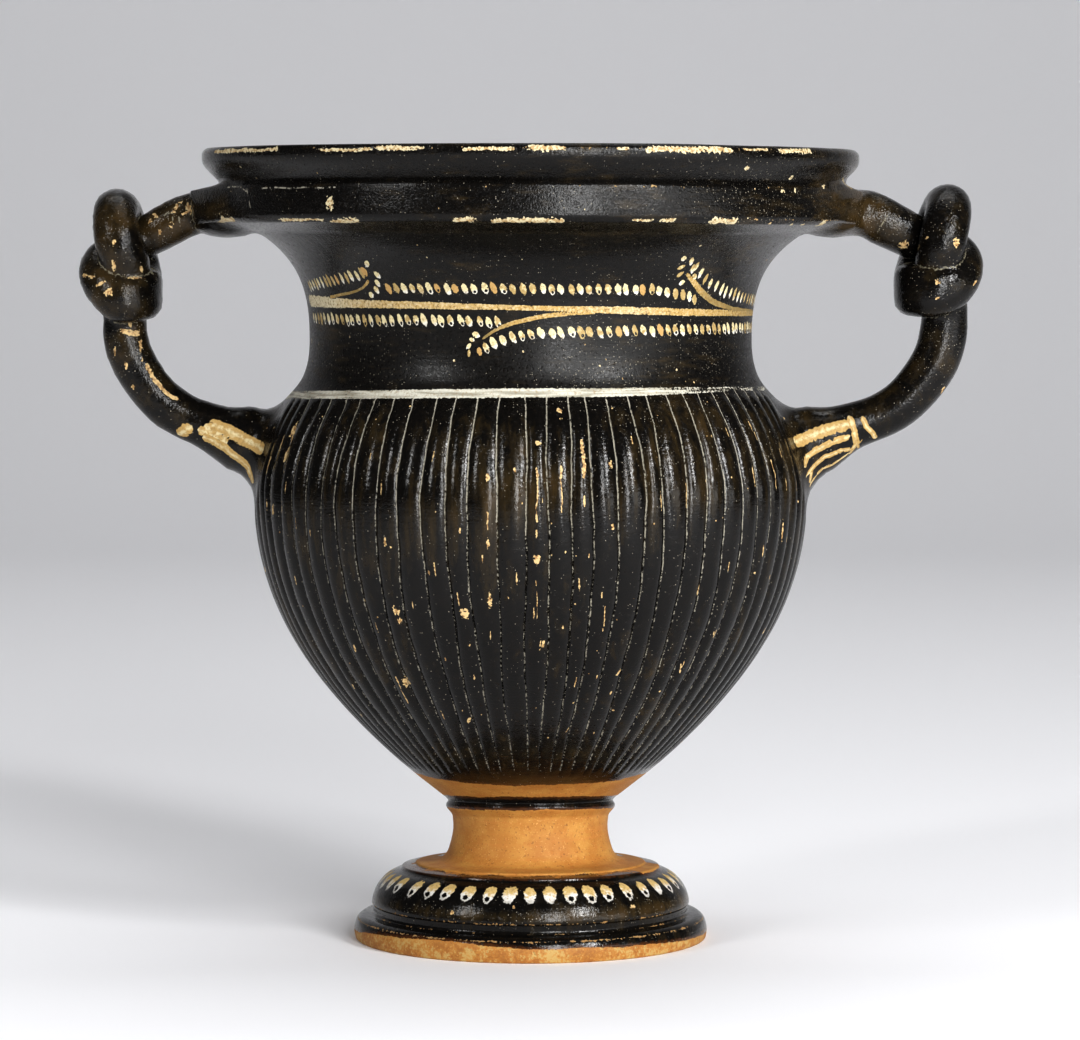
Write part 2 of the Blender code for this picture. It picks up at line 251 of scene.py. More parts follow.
# turned shape in millimetres, (radius, height) or (radius, height, softness of the corner)
turned = {
    "neckUpper": ((55.0, 143.1), (46.5, 137.6), (44.6, 131.4), (44.6, 121.8)),
    "neckLower": ((44.6, 121.8), (44.6, 117.2), (45.4, 113.0), (48.8, 110.4)),
    "shoulder": ((48.8, 110.4), (51.6, 107.2), (56.0, 98.2), (56.0, 91.0)),
    "body": ((56.0, 91.0), (56.0, 70.1), (46.3, 51.0), (17.3, 28.6)),
    "lipTop": (
        (61.6, 158.3, 0),
        (62.3, 159.3, 0.5),
        (65.2, 159.8, 0.5),
        (66.1, 158.9, 0.5),
        (66.15, 157.4, 0.5),
        (65.9, 156.6, 0.4),
    ),
    "cavetto": ((65.9, 156.6), (65.2, 155.3), (63.5, 154.1), (62.2, 152.6)),
    "collar": (
        (62.2, 152.6, 0.2),
        (63.05, 152.0, 0.35),
        (63.35, 145.8, 0.5),
        (62.3, 144.75, 0.4),
        (60.4, 144.3, 0.6),
        (55.0, 143.1, 1.6),
    ),
    "bodyWall": 4.4,
    "neckWall": 3.4,
    "bowlFloor": 33.4,
    "ribsEnd": 35.4,
    "stem": (
        (17.3, 28.6, 0.2),
        (16.65, 27.9, 0.2),
        (17.2, 27.1, 0.3),
        (17.1, 26.5, 0.3),
        (15.85, 25.0, 0.4),
        (15.6, 22.5, 1.5),
        (16.0, 20.2, 1.0),
        (17.0, 16.9, 1.2),
        (18.8, 15.75, 0.9),
        (23.3, 15.4, 0.25),
        (23.45, 15.0, 0.15),
        (26.1, 14.7, 0.2),
        (26.25, 14.25, 0.12),
        (26.6, 13.95, 0.15),
    ),
    "torus": ((26.6, 13.95), (29.6, 13.2), (32.1, 10.6), (32.3, 7.2)),
    "disc": (
        (32.3, 7.2, 0.2),
        (32.05, 6.9, 0.15),
        (31.95, 5.6, 0.3),
        (32.3, 5.15, 0.2),
        (34.3, 4.9, 0.5),
        (35.4, 4.1, 0.6),
        (36.0, 1.9, 0.9),
        (35.6, 0.0, 0.4),
        (29.5, 0.0, 0.4),
        (17.0, 6.5, 1.5),
        (0.0, 9.4, 0),
    ),
    "lean": ((10, 14.5, 19, 24, 31, 36), (0, 0.65, 0.65, 1.3, 1.3, 0)),  # rise of the front at each height
}


def bend(curve, parts=24):
    start, pullA, pullB, end = (np.array(corner) for corner in curve)
    t = np.linspace(0, 1, parts + 1)[:, None]
    return (1 - t) ** 3 * start + 3 * t * (1 - t) ** 2 * pullA + 3 * t * t * (1 - t) * pullB + t**3 * end


def soften(corners):  # a chain of straight runs with small rounds at its corners
    points = []
    for i, (radius, height, softness) in enumerate(corners):
        here = np.array((radius, height))
        if softness == 0 or i in (0, len(corners) - 1):
            points.append(here)
            continue
        before = np.array(corners[i - 1][:2]) - here
        after = np.array(corners[i + 1][:2]) - here
        before *= min(softness / np.linalg.norm(before), 0.48)
        after *= min(softness / np.linalg.norm(after), 0.48)
        for t in (0.0, 0.3, 0.7, 1.0):
            points.append(here + before * (1 - t) ** 2 + after * t**2)
    return np.array(points)


def lengthsAlong(points):
    return np.concatenate(([0.0], np.cumsum(np.linalg.norm(np.diff(points, axis=0), axis=1))))


def evenRows(points, spacing):
    along = lengthsAlong(points)
    places = np.linspace(0, along[-1], max(2, round(along[-1] / spacing) + 1))
    return np.column_stack([np.interp(places, along, points[:, k]) for k in (0, 1)])


def fillRows(points, spacing):  # keeps every point and divides the long runs
    rows = [points[0]]
    for start, end in zip(points[:-1], points[1:]):
        parts = max(1, round(np.linalg.norm(end - start) / spacing))
        rows += [start + (end - start) * k / parts for k in range(1, parts + 1)]
    return np.array(rows)


def inside(curve, wall, parts=24):  # the curve moved in by the wall's thickness
    points = bend(curve, parts)
    along = np.gradient(points, axis=0)
    along /= np.linalg.norm(along, axis=1)[:, None]
    return points + wall * np.column_stack((along[:, 1], -along[:, 0]))


# outside of the vessel from the lip down, and the hollow from the floor up
bodyCurve = bend(turned["body"], 60)
lastRib = np.searchsorted(-bodyCurve[:, 1], -turned["ribsEnd"])
ribbedPath = np.vstack((bend(turned["shoulder"])[:-1], bodyCurve[:lastRib]))
stemPath = np.vstack((bodyCurve[lastRib - 1:-1], soften(turned["stem"])))
neckPath = np.vstack((bend(turned["neckUpper"])[:-1], bend(turned["neckLower"])))
bowlPath = np.vstack((
    bend(((0, turned["bowlFloor"]), (10, 33.6), (17, 35.4), (21.3, 38.3)), 12),
    inside(turned["body"], turned["bodyWall"], 40)[34:2:-1],
    inside(turned["shoulder"], turned["bodyWall"])[20:5:-1],
    inside(turned["neckLower"], turned["neckWall"])[13::-1],
    inside(turned["neckUpper"], turned["neckWall"])[::-1][1:],
    bend(((55.4, 147.2), (58.2, 150.2), (60.2, 154.4), (61.6, 158.2)), 10)[1:],
))
print("bowl rises", bool(np.all(np.diff(bowlPath[:, 1]) > -0.3)), "with", len(bowlPath), "points")


# ribs: the grooves between them were cut by eye, so none is quite in its place
ribs = {
    "frontGrooves": (-27.9, -22.0, -17.0, -12.4, -6.7, -0.9, 3.8, 8.7, 12.8, 18.0, 23.5, 27.9, 33.3, 38.4),
    "count": 72,
    "jitter": 0.45,  # degrees
    "depth": 0.9,
    "places": (0.0, 0.07, 0.28, 0.5, 0.72, 0.93),  # columns across one rib
    "dip": (1.0, 0.62, 0.15, 0.0, 0.15, 0.62),  # share of the depth at each
    "rootClear": (8.5, 14.5),  # mm from a handle's root where ribs are smoothed away
}
grooves = list(ribs["frontGrooves"])
spare = ribs["count"] - len(grooves)
pitch = (360 + grooves[0] - grooves[-1]) / (spare + 1)
last = grooves[-1]
grooves += [last + pitch * k + dice.uniform(-1, 1) * ribs["jitter"] for k in range(1, spare + 1)]
grooves = np.array(grooves)
sway = np.array([dice.uniform(0, 2 * math.pi) for _ in range(4 * ribs["count"])]).reshape(4, -1)


def grooveAngles(height):  # degrees from the front, growing towards the right
    height = np.asarray(height)[..., None]
    slow = 0.3 * np.sin(height / 9.7 + sway[0]) + 0.16 * np.sin(height / 4.1 + sway[1])
    return grooves + slow + 0.06 * np.sin(height / 1.5 + sway[2]) + 0.05 * np.sin(height / 0.85 + sway[3])


def smooth(value, low, high):
    t = np.clip((np.asarray(value, float) - low) / (high - low), 0, 1)
    return t * t * (3 - 2 * t)


# the white line at the shoulder isn't level, and the grooves start along its lower edge
whiteLine = {
    "angles": (-180, -120, -90, -57, -24, 0, 25, 45, 69, 90, 130, 180),
    "heights": (111.6, 111.0, 110.3, 111.2, 112.0, 112.3, 112.3, 112.4, 112.1, 111.5, 111.4, 111.6),
    "halfWidths": (0.9, 0.95, 1.15, 1.1, 1.1, 1.1, 1.0, 0.7, 0.62, 0.7, 0.85, 0.9),
    "fades": (0.5, 0.45, 0.3, 0.15, 0.0, 0.0, 0.05, 0.55, 0.6, 0.5, 0.45, 0.5),
    "halfWidth": 1.05,
}


def whiteLineHeight(angle):
    return np.interp((angle + 180) % 360 - 180, whiteLine["angles"], whiteLine["heights"])


def rootDistance(angle, height, radius):  # mm from the nearer handle's root, along the surface
    side = np.abs(np.abs((angle + 180) % 360 - 180) - 90)
    return np.hypot(np.radians(side) * radius, (height - 100.5) * 0.86)


def grooveDepth(angle, height, radius):
    starts = smooth(whiteLineHeight(angle) - whiteLine["halfWidth"] - height, -0.5, 1.8)
    ends = np.clip((height - turned["ribsEnd"]) / 5 + 0.25, 0, 1)
    crowding = np.minimum(1.0, radius / 56 + 0.2)
    clear = smooth(rootDistance(angle, height, radius), *ribs["rootClear"])
    return ribs["depth"] * starts * ends * crowding * clear


def lean(radius, height):  # the foot is joined on slightly askew, its rings higher in front
    return 0.0 if height > 32 and radius < 21 else float(np.interp(height, *turned["lean"]))


def ring(radius, height, columns):
    follow = smooth(-height, -117.5, -112) * smooth(height, 33.5, 36.5)
    step = 6 * ribs["count"] // columns
    even = np.arange(0, 6, step) / 6
    ribbed = np.array(ribs["places"])[::step]
    places = even + (ribbed - even) * follow
    starts = grooveAngles(height)
    ends = np.append(starts[1:], starts[0] + 360)
    angle = (starts[:, None] + (ends - starts)[:, None] * places).ravel()
    dip = np.tile(np.array(ribs["dip"])[::step], ribs["count"]) * follow
    radii = radius - dip * grooveDepth(angle, height, radius)
    turn = np.radians(angle)
    tipped = height + lean(radius, height) * np.cos(turn)
    return np.column_stack((radii * np.sin(turn), -radii * np.cos(turn), tipped))


# every stretch of the turned surface: its rows and how many columns go round
def between(points, top, bottom):
    keep = (points[:, 1] <= top + 1e-6) & (points[:, 1] >= bottom - 1e-6)
    return points[keep]


discPath = soften(turned["disc"])
rimOfFoot = int(np.argmax(np.hypot(discPath[:, 0] - 29.5, discPath[:, 1]) < 0.45)) + 1
finePath = evenRows(neckPath, 0.1)
stretches = (
    (evenRows(bowlPath, 3.6), 216),
    (fillRows(soften(turned["lipTop"]), 1.1), 216),
    (fillRows(np.vstack((bend(turned["cavetto"], 8), soften(turned["collar"]))), 1.3), 216),
    (evenRows(between(finePath, 143.1, 140.6), 1.0), 216),
    (evenRows(between(finePath, 140.5, 117.6), 0.62), 432),
    (evenRows(between(finePath, 117.5, 110.4), 0.7), 432),
    (evenRows(ribbedPath, 1.7), 432),
    (fillRows(stemPath, 1.15), 216),
    (evenRows(bend(turned["torus"]), 0.7), 216),
    (fillRows(discPath[:rimOfFoot], 1.1), 216),
    (fillRows(discPath[rimOfFoot - 1:], 5.0), 216),
)


def bridge(faces, upper, upperCount, lower, lowerCount):
    if upperCount == 1:
        faces += [(upper, lower + i, lower + (i + 1) % lowerCount) for i in range(lowerCount)]
    elif lowerCount == 1:
        faces += [(upper + i, lower, upper + (i + 1) % upperCount) for i in range(upperCount)]
    elif upperCount == lowerCount:
        for i in range(upperCount):
            j = (i + 1) % upperCount
            faces.append((upper + i, lower + i, lower + j, upper + j))
    elif upperCount < lowerCount:
        for i in range(upperCount):
            j = (i + 1) % upperCount
            far = (2 * i + 2) % lowerCount
            faces.append((upper + i, lower + 2 * i, lower + 2 * i + 1))
            faces.append((upper + i, lower + 2 * i + 1, upper + j))
            faces.append((upper + j, lower + 2 * i + 1, lower + far))
    else:
        for i in range(lowerCount):
            j = (i + 1) % lowerCount
            far = (2 * i + 2) % upperCount
            faces.append((upper + 2 * i, lower + i, upper + 2 * i + 1))
            faces.append((lower + i, lower + j, upper + 2 * i + 1))
            faces.append((upper + 2 * i + 1, lower + j, upper + far))


# how far the hand left the surface from a true circle
handmade = {
    "broad": 0.13, "broadSize": 26.0, "fine": 0.035, "fineSize": 5.5,
    "rimFall": 0.15, "frontRise": 0.5, "lipWave": 0.1, "highest": 159.75,
}


def handTurned(points):
    for point in points:
        place = Vector(point)
        out = math.hypot(point[0], point[1])
        if out < 1:
            continue
        wave = handmade["broad"] * noise.noise(place / handmade["broadSize"])
        wave += handmade["fine"] * noise.noise(place / handmade["fineSize"] + Vector((7, 3, 1)))
        if point[2] > 140 or point[2] < 12:
            wave = -abs(wave)
        wave *= min(1.0, point[2] / 3)
        point[0] *= 1 + wave / out
        point[1] *= 1 + wave / out
        lift = float(smooth(point[2], 115, 150))
        point[2] -= handmade["rimFall"] * (1 + point[0] / 65) * lift
        point[2] += handmade["frontRise"] * max(0.0, (-0.93 * point[1] - 0.37 * point[0]) / 65) ** 2 * lift
        point[2] += handmade["lipWave"] * wave / handmade["broad"] * lift
        point[2] = min(point[2], handmade["highest"])
    return points


def shapeInto(name, shape):
    mesh = bpy.data.meshes.new(name)
    shape.to_mesh(mesh)
    shape.free()
    return intoScene(name, mesh)


def meshFrom(name, points, faces):
    draft = bpy.data.meshes.new(name)
    draft.from_pydata((np.asarray(points) * mm).tolist(), [], faces)
    shape = bmesh.new()
    shape.from_mesh(draft)
    bpy.data.meshes.remove(draft)
    bmesh.ops.recalc_face_normals(shape, faces=shape.faces)
    return shapeInto(name, shape)


def turnedBody(name, layers):
    points, faces, starts = [], [], []
    total = 0
    previous = None
    for rows, columns in layers:
        for radius, height in rows:
            if previous is not None and np.hypot(radius - previous[0], height - previous[1]) < 0.02:
                continue
            previous = (radius, height)
            if radius < 0.01:
                points.append(np.array([[0.0, 0.0, height]]))
            else:
                points.append(ring(radius, height, columns))
            starts.append((total, len(points[-1])))
            total += len(points[-1])
    for (upper, upperCount), (lower, lowerCount) in zip(starts[:-1], starts[1:]):
        bridge(faces, upper, upperCount, lower, lowerCount)
    return meshFrom(name, handTurned(np.vstack(points)), faces)


vessel = turnedBody("krateriskos_finished", stretches)
print("vessel turned:", len(vessel.data.vertices), "points,", len(vessel.data.polygons), "faces")


# handles: (out from the axis, towards the front, height, thickness radius), from the rim through
# the knot and down into the body
handles = {
    "left": {
        "side": -1,
        "route": (
            (56.0, 0.0, 148.2, 3.4),
            (66.4, 0.0, 147.2, 4.3),
            (73.8, -0.2, 144.2, 4.3),
            (81.0, -2.0, 140.0, 4.1),
            (85.6, -2.0, 137.6, 4.1),
            (86.9, 1.2, 134.9, 4.2),
            (84.8, 4.9, 131.9, 4.4),
            (81.3, 5.7, 129.9, 4.5),
            (78.7, 2.9, 130.7, 4.2),
            (78.6, -2.6, 132.0, 4.2),
            (79.7, -6.3, 137.2, 4.2),
            (81.9, -6.0, 143.2, 4.3),
            (83.2, -2.0, 147.1, 4.6),
            (83.4, 3.2, 145.9, 4.6),
            (82.4, 5.6, 141.0, 4.7),
            (81.2, 4.7, 136.4, 4.7),
            (80.9, 1.6, 131.8, 4.5),
            (81.9, 0.0, 126.5, 4.4),
            (80.7, 0.0, 117.8, 4.5),
            (74.0, 0.0, 108.5, 4.5),
            (64.4, 0.0, 103.6, 4.9),
            (55.4, 0.0, 100.35, 8.1),
            (47.0, 0.0, 99.0, 10.7),
        ),
        "plate": {"reach": 67.7, "halfWidth": 8.5, "tilt": 8.0},
        "band": (
            (4, 1.0, 2.0), (6, 1.05, 2.2), (7, 1.12, 3.0), (8, 1.12, 5.5), (9, 1.08, 5.5), (10, 1.0, 2.0),
        ),
        "lumps": 0.055,
        "pits": 0.03,
    },
    "right": {
        "side": 1,
        "route": (
            (56.0, 0.0, 148.2, 3.6),
            (66.4, 0.0, 147.0, 4.9),
            (73.6, -0.2, 143.9, 4.75),
            (80.0, -1.8, 140.8, 4.3),
            (85.4, -2.0, 139.0, 4.3),
            (86.8, 1.2, 136.4, 4.4),
            (85.0, 5.0, 133.2, 4.5),
            (81.2, 6.0, 131.4, 4.7),
            (78.4, 3.4, 131.4, 4.6),
            (78.0, -2.0, 132.6, 4.5),
            (79.4, -6.3, 137.8, 4.3),
            (82.2, -6.0, 143.8, 4.4),
            (84.0, -2.0, 147.9, 4.7),
            (83.9, 3.2, 146.6, 4.7),
            (82.8, 5.8, 141.8, 4.8),
            (82.0, 4.8, 137.0, 4.8),
            (82.6, 1.6, 131.8, 4.7),
            (83.6, 0.0, 126.5, 4.6),
            (82.0, 0.0, 117.6, 4.8),
            (74.6, 0.0, 108.3, 4.6),
            (64.4, 0.0, 103.6, 4.9),
            (55.4, 0.0, 100.4, 8.4),
            (47.0, 0.0, 99.2, 10.8),
        ),
        "plate": {"reach": 66.6, "halfWidth": 7.0, "tilt": 13.0},
        "band": (
            (5, 1.0, 2.0), (6, 1.04, 2.3), (7, 1.1, 3.2), (8, 1.12, 5.0), (9, 1.08, 5.0), (10, 1.0, 2.0),
        ),
        "lumps": 0.035,
        "pits": 0.012,
    },
}
rolled = {"stepsPerStretch": 7, "sides": 24, "lumpSize": 6.0, "pitSize": 1.3}
plates = {
    "angle": 24, "pivot": (61.0, 148.9), "thickness": 6.6, "root": 58.5, "edge": 62.9,
    "rounding": 0.8, "roundFrom": 59.0,
}
pads = {"size": (6.9, 8.8, 2.75), "place": (61.0, 144.7), "lumps": 0.06}


def smoothRoute(route, steps):
    route = np.array(route)
    ends = np.vstack((2 * route[0] - route[1], route, 2 * route[-1] - route[-2]))
    points = []
    for i in range(len(route) - 1):
        a, b, c, d = ends[i:i + 4]
        for t in np.arange(steps) / steps:
            points.append((2 * b + (c - a) * t + (2 * a - 5 * b + 4 * c - d) * t**2
                           + (3 * b - a - 3 * c + d) * t**3) / 2)
    return np.vstack((points, route[-1]))


def rolledHandle(name, values):
    side = values["side"]
    route = smoothRoute(values["route"], rolled["stepsPerStretch"])
    centres = np.column_stack((side * route[:, 0], -route[:, 1], route[:, 2]))
    ahead = np.gradient(centres, axis=0)
    ahead /= np.linalg.norm(ahead, axis=1)[:, None]
    across = np.cross(ahead[0], (0, 0, 1))
    turns = np.linspace(0, 2 * math.pi, rolled["sides"], endpoint=False)
    steps = np.arange(len(route)) / rolled["stepsPerStretch"]
    at, tall, square = zip(*values["band"])  # where the clay was pressed flat against the knot
    tall, square = np.interp(steps, at, tall), np.interp(steps, at, square)
    points, faces = [centres[:1]], []
    for i, centre in enumerate(centres):
        across = across - ahead[i] * np.dot(across, ahead[i])  # carried along without twisting
        across /= np.linalg.norm(across)
        upward = np.cross(ahead[i], across)
        for turn in turns:
            way = across * math.cos(turn) + upward * math.sin(turn)
            rise, out = abs(way[2]) / tall[i], math.sqrt(max(0.0, 1 - way[2] ** 2))
            reach = route[i, 3] / (rise ** square[i] + out ** square[i]) ** (1 / square[i])
            spot = centre + way * reach
            swell = values["lumps"] * noise.noise(Vector(spot) / rolled["lumpSize"])
            swell += values["pits"] * noise.noise(Vector(spot) / rolled["pitSize"] + Vector((5, 5, 5)))
            points.append([centre + way * reach * (1 + swell)])
    points.append(centres[-1:])
    lastRing = 1 + (len(centres) - 1) * rolled["sides"]
    bridge(faces, 0, 1, 1, rolled["sides"])
    for i in range(len(centres) - 1):
        start = 1 + i * rolled["sides"]
        bridge(faces, start, rolled["sides"], start + rolled["sides"], rolled["sides"])
    bridge(faces, lastRing, rolled["sides"], lastRing + rolled["sides"], 1)
    return meshFrom(name, np.vstack(points), faces)


def handlePlate(name, values):  # carries the strap from the collar to its end face
    side, size = values["side"], values["plate"]
    root = math.radians(plates["angle"])
    bows = np.linspace(root, -root, 9)
    corners = [(plates["root"] * math.cos(bow), plates["root"] * math.sin(bow)) for bow in bows]
    near, wide = plates["edge"] * math.cos(root), plates["edge"] * math.sin(root)
    corners += [(near, -wide), (size["reach"], -size["halfWidth"])]
    corners += [(size["reach"], size["halfWidth"]), (near, wide)]
    tilt = math.radians(size["tilt"])
    shape = bmesh.new()
    rings = []
    for level in (-0.5, 0.5):
        loop = []
        for out, across in corners:
            flat = out - plates["pivot"][0]
            lift = level * plates["thickness"]
            x = plates["pivot"][0] + flat * math.cos(tilt) + lift * math.sin(tilt)
            z = plates["pivot"][1] - flat * math.sin(tilt) + lift * math.cos(tilt)
            loop.append(shape.verts.new((side * x * mm, across * mm, z * mm)))
        rings.append(loop)
        shape.faces.new(loop)
    for i in range(len(corners)):
        j = (i + 1) % len(corners)
        shape.faces.new((rings[0][i], rings[0][j], rings[1][j], rings[1][i]))
    bmesh.ops.recalc_face_normals(shape, faces=shape.faces)
    outer = [edge for edge in shape.edges if all(abs(v.co.x) > plates["roundFrom"] * mm for v in edge.verts)]
    rounding = plates["rounding"] * mm
    bmesh.ops.bevel(shape, geom=outer, offset=rounding, segments=3, profile=0.5, affect="EDGES")
    return shapeInto(name, shape)


def claypad(name, side):  # the lump pressed on under a plate
    shape = bmesh.new()
    bmesh.ops.create_uvsphere(shape, u_segments=36, v_segments=18, radius=1.0)
    for vert in shape.verts:
        vert.co *= 1 + pads["lumps"] * noise.noise(vert.co * 2.2)
        vert.co = Vector([c * s * mm for c, s in zip(vert.co, pads["size"])])
        vert.co += Vector((side * pads["place"][0] * mm, 0, pads["place"][1] * mm))
    return shapeInto(name, shape)


# a plain solid that fills the bowl as far as the middle of the wall, to trim what is joined on
midWall = np.vstack((
    [(0, 30.5), (18, 33.0)],
    inside(turned["body"], 2.2)[20::-1],
    inside(turned["shoulder"], 2.2)[::-1][1:],
    inside(turned["neckLower"], 1.7)[::-1],
    inside(turned["neckUpper"], 1.7)[::-1][1:],
    [(59.6, 150.0), (62.5, 157.0), (63.0, 170.0), (0, 170.0)],
))


def combine(thing, others, operation, solver="EXACT", selfCrossing=False):
    for other in others:
        step = thing.modifiers.new(other.name, "BOOLEAN")
        step.operation = operation
        step.solver = solver
        if solver == "EXACT":
            step.use_self = selfCrossing
        step.material_mode = "INDEX"
        step.object = other
    bpy.context.view_layer.update()
    seen = thing.evaluated_get(bpy.context.evaluated_depsgraph_get())
    mesh = bpy.data.meshes.new_from_object(seen)
    thing.modifiers.clear()
    thing.data = mesh
    for other in others:
        bpy.data.objects.remove(other, do_unlink=True)
    return thing


def markFaces(thing, slotIndex):
    for _ in range(3):
        thing.data.materials.append(None)
    thing.data.polygons.foreach_set("material_index", [slotIndex] * len(thing.data.polygons))


# body faces keep slot 0, handles 1, plates and pads 2, so the joins can be found again
markFaces(vessel, 0)
joined = []
for word, values in handles.items():
    rod = rolledHandle("rod_" + word, values)
    markFaces(rod, 1)
    extras = [handlePlate("plate_" + word, values), claypad("pad_" + word, values["side"])]
    for extra in extras:
        markFaces(extra, 2)
    combine(rod, extras, "UNION", selfCrossing=True)
    trim = turnedBody("trim_" + word, (([tuple(row) for row in midWall], 216),))
    combine(rod, [trim], "DIFFERENCE")
    joined.append(rod)
    print("handle", word, "made,", len(rod.data.polygons), "faces")
combine(vessel, joined, "UNION", solver="MANIFOLD")
print("handles joined on:", len(vessel.data.vertices), "points")


# joins are pressed and smoothed by finger: reach in mm, number of strokes
joins = {
    "root": (7.0, 24), "rim": (2.4, 10), "plateLeft": (1.0, 3), "plateRight": (4.0, 14), "knot": (0.9, 2),
}
foldAngle = math.radians(-32)  # a knot's strands meet in a fold sharper than this

shape = bmesh.new()
shape.from_mesh(vessel.data)
bmesh.ops.triangulate(shape, faces=shape.faces)
bmesh.ops.dissolve_degenerate(shape, edges=shape.edges, dist=0.00002)
bmesh.ops.triangulate(shape, faces=[face for face in shape.faces if len(face.verts) > 3])
shape.verts.index_update()
seams = {kind: set() for kind in joins}
for edge in shape.edges:
    if len(edge.link_faces) != 2:
        continue
    slots = {face.material_index for face in edge.link_faces}
    ends = [vert.index for vert in edge.verts]
    start = edge.verts[0].co
    if slots == {1, 2}:
        seams["plateRight" if start.x > 0 else "plateLeft"].update(ends)
    elif len(slots) == 2:
        seams["root" if start.z < 118 * mm else "rim"].update(ends)
    elif slots == {1} and edge.calc_face_angle_signed() < foldAngle:
        seams["knot"].update(ends)
shape.to_mesh(vessel.data)
shape.free()
skin = vessel.data


def spots(mesh):
    flat = np.empty(len(mesh.vertices) * 3)
    mesh.vertices.foreach_get("co", flat)
    return flat.reshape(-1, 3) / mm


def distanceTo(points, chosen, limit):
    distances = np.full(len(points), limit, float)
    if not chosen:
        return distances
    tree = KDTree(len(chosen))
    for i, index in enumerate(sorted(chosen)):
        tree.insert(points[index], i)
    tree.balance()
    target = points[sorted(chosen)]
    low, high = target.min(0) - limit, target.max(0) + limit
    for i in np.nonzero(np.all((points > low) & (points < high), axis=1))[0]:
        distances[i] = min(limit, tree.find(points[i])[2])
    return distances


outsidePath = np.vstack((
    soften(turned["lipTop"])[-4:], bend(turned["cavetto"]), soften(turned["collar"]),
    finePath[1:], ribbedPath[1:], stemPath[1:], bend(turned["torus"])[1:], discPath[:rimOfFoot],
))


def outsideRadius(height):
    fall = outsidePath[::-1]
    return np.interp(height, fall[:, 1], fall[:, 0])


points = spots(skin)
ends = np.empty(len(skin.edges) * 2, int)
skin.edges.foreach_get("vertices", ends)
ends = ends.reshape(-1, 2)
neighbours = np.bincount(ends.ravel(), minlength=len(points))
creaseDistance = distanceTo(points, seams["knot"], 3.0)
plateDistance = distanceTo(points, seams["plateLeft"], 3.0)
onOutside = np.hypot(points[:, 0], points[:, 1]) > outsideRadius(points[:, 2]) - 1.6
for kind, (reach, strokes) in joins.items():
    pull = 0.55 * (1 - smooth(distanceTo(points, seams[kind], reach), 0, reach)) * onOutside
    moved = np.nonzero(pull > 0.001)[0]
    for _ in range(strokes):
        total = np.column_stack([
            np.bincount(ends[:, 0], points[ends[:, 1], k], len(points))
            + np.bincount(ends[:, 1], points[ends[:, 0], k], len(points)) for k in range(3)
        ])
        mean = total[moved] / neighbours[moved, None]
        points[moved] += (mean - points[moved]) * pull[moved, None]
skin.vertices.foreach_set("co", (points * mm).ravel())
skin.update()
print("joins smoothed:", {kind: len(found) for kind, found in seams.items()})


# where the slip stops and bare clay shows: heights on the front and at the sides
clayBands = {
    "bandTop": {"front": 33.5, "side": 34.5},
    "bandBottom": {"front": 30.75, "side": 29.0},
    "lineBottom": {"front": 27.95, "side": 26.35},
    "fillet": {"front": 15.6, "side": 15.0},
}
discEdge = (  # angle from the front, height: the slip was wiped off the foot's edge by hand
    (-180, -120, -90, -68, -57.7, -39.2, -25.4, -8.8, 0, 15, 31.2, 40.8, 52.1, 79.5, 100, 140, 180),
    (2.6, 2.2, 1.6, 2.6, 3.2, 3.75, 3.8, 3.25, 2.8, 2.95, 2.6, 2.5, 2.2, 1.5, 1.7, 3.0, 2.6),
)
bareStep = {"from": 60, "to": 88, "drop": 0.75}  # clay runs on past the step on the right
angles = np.degrees(np.arctan2(points[:, 0], -points[:, 1]))
heights = points[:, 2]
radii = np.hypot(points[:, 0], points[:, 1])
frontness = np.cos(np.radians(angles))


def bandHeight(name):
    band = clayBands[name]
    return band["side"] + (band["front"] - band["side"]) * frontness


# signed millimetres: above 0 the surface has slip, below it is clay
slip = np.full(len(points), 6.0)
lower = (heights < 45) & (radii > outsideRadius(heights) - 3.2)
lower &= (heights < 33.2) | (radii > 21)
signed = np.minimum(heights - bandHeight("bandTop"), 6.0)
onStep = smooth(angles, bareStep["from"] - 3, bareStep["from"])
onStep *= 1 - smooth(angles, bareStep["to"], bareStep["to"] + 3)
stepped = heights - bandHeight("fillet") + bareStep["drop"] * onStep
for sign, above in (
    (-1, heights - bandHeight("bandBottom")), (1, heights - bandHeight("lineBottom")),
    (-1, stepped), (1, heights - np.interp(angles, *discEdge)),
):
    signed = np.maximum(signed, -above) if sign < 0 else np.minimum(signed, above)
slip[lower] = signed[lower]
underneath = (heights < 9.8) & (radii < outsideRadius(heights) - 1.2)
slip[underneath] = -6.0


def glow(places, base=0.0):  # 1 at each place, fading over its radius
    amount = np.full(len(points), base)
    for x, y, z, radius, strength in places:
        away = np.sum((points - (x, y, z)) ** 2, axis=1) / radius**2
        amount = np.maximum(amount, strength * np.exp(-away))
    return amount


# where the slip fired thin and brown, and where pale specks are laid on, partly dust and partly painted
# highlight sparkle: x, y, z, radius, strength
thinPlaces = (
    (58, -24, 149, 13, 1.0), (66, -8, 147, 12, 1.4), (50, -36, 149, 8, 0.45), (-63, -17, 149, 8, 0.75),
    (-73, -4, 145, 7, 1.9), (-87, -7, 144, 7, 1.5), (-86, -8, 133, 9, 1.2), (-82, -4, 119, 9, 0.9),
    (84, -8, 139, 9, 0.6), (82, -4, 119, 10, 0.7), (72, -4, 109, 8, 0.8), (30, -46, 106, 16, 0.5),
    (-38, -38, 106, 12, 0.35), (54, -12, 104, 12, 0.5), (0, -56, 98, 12, 0.35), (-52, -18, 80, 18, 0.4),
    (20, -30, 46, 16, 0.5), (-10, 62, 150, 14, 0.6), (-30, 48, 100, 18, 0.5), (40, 38, 90, 16, 0.4),
    (0, 0, 36, 22, 0.5),
)
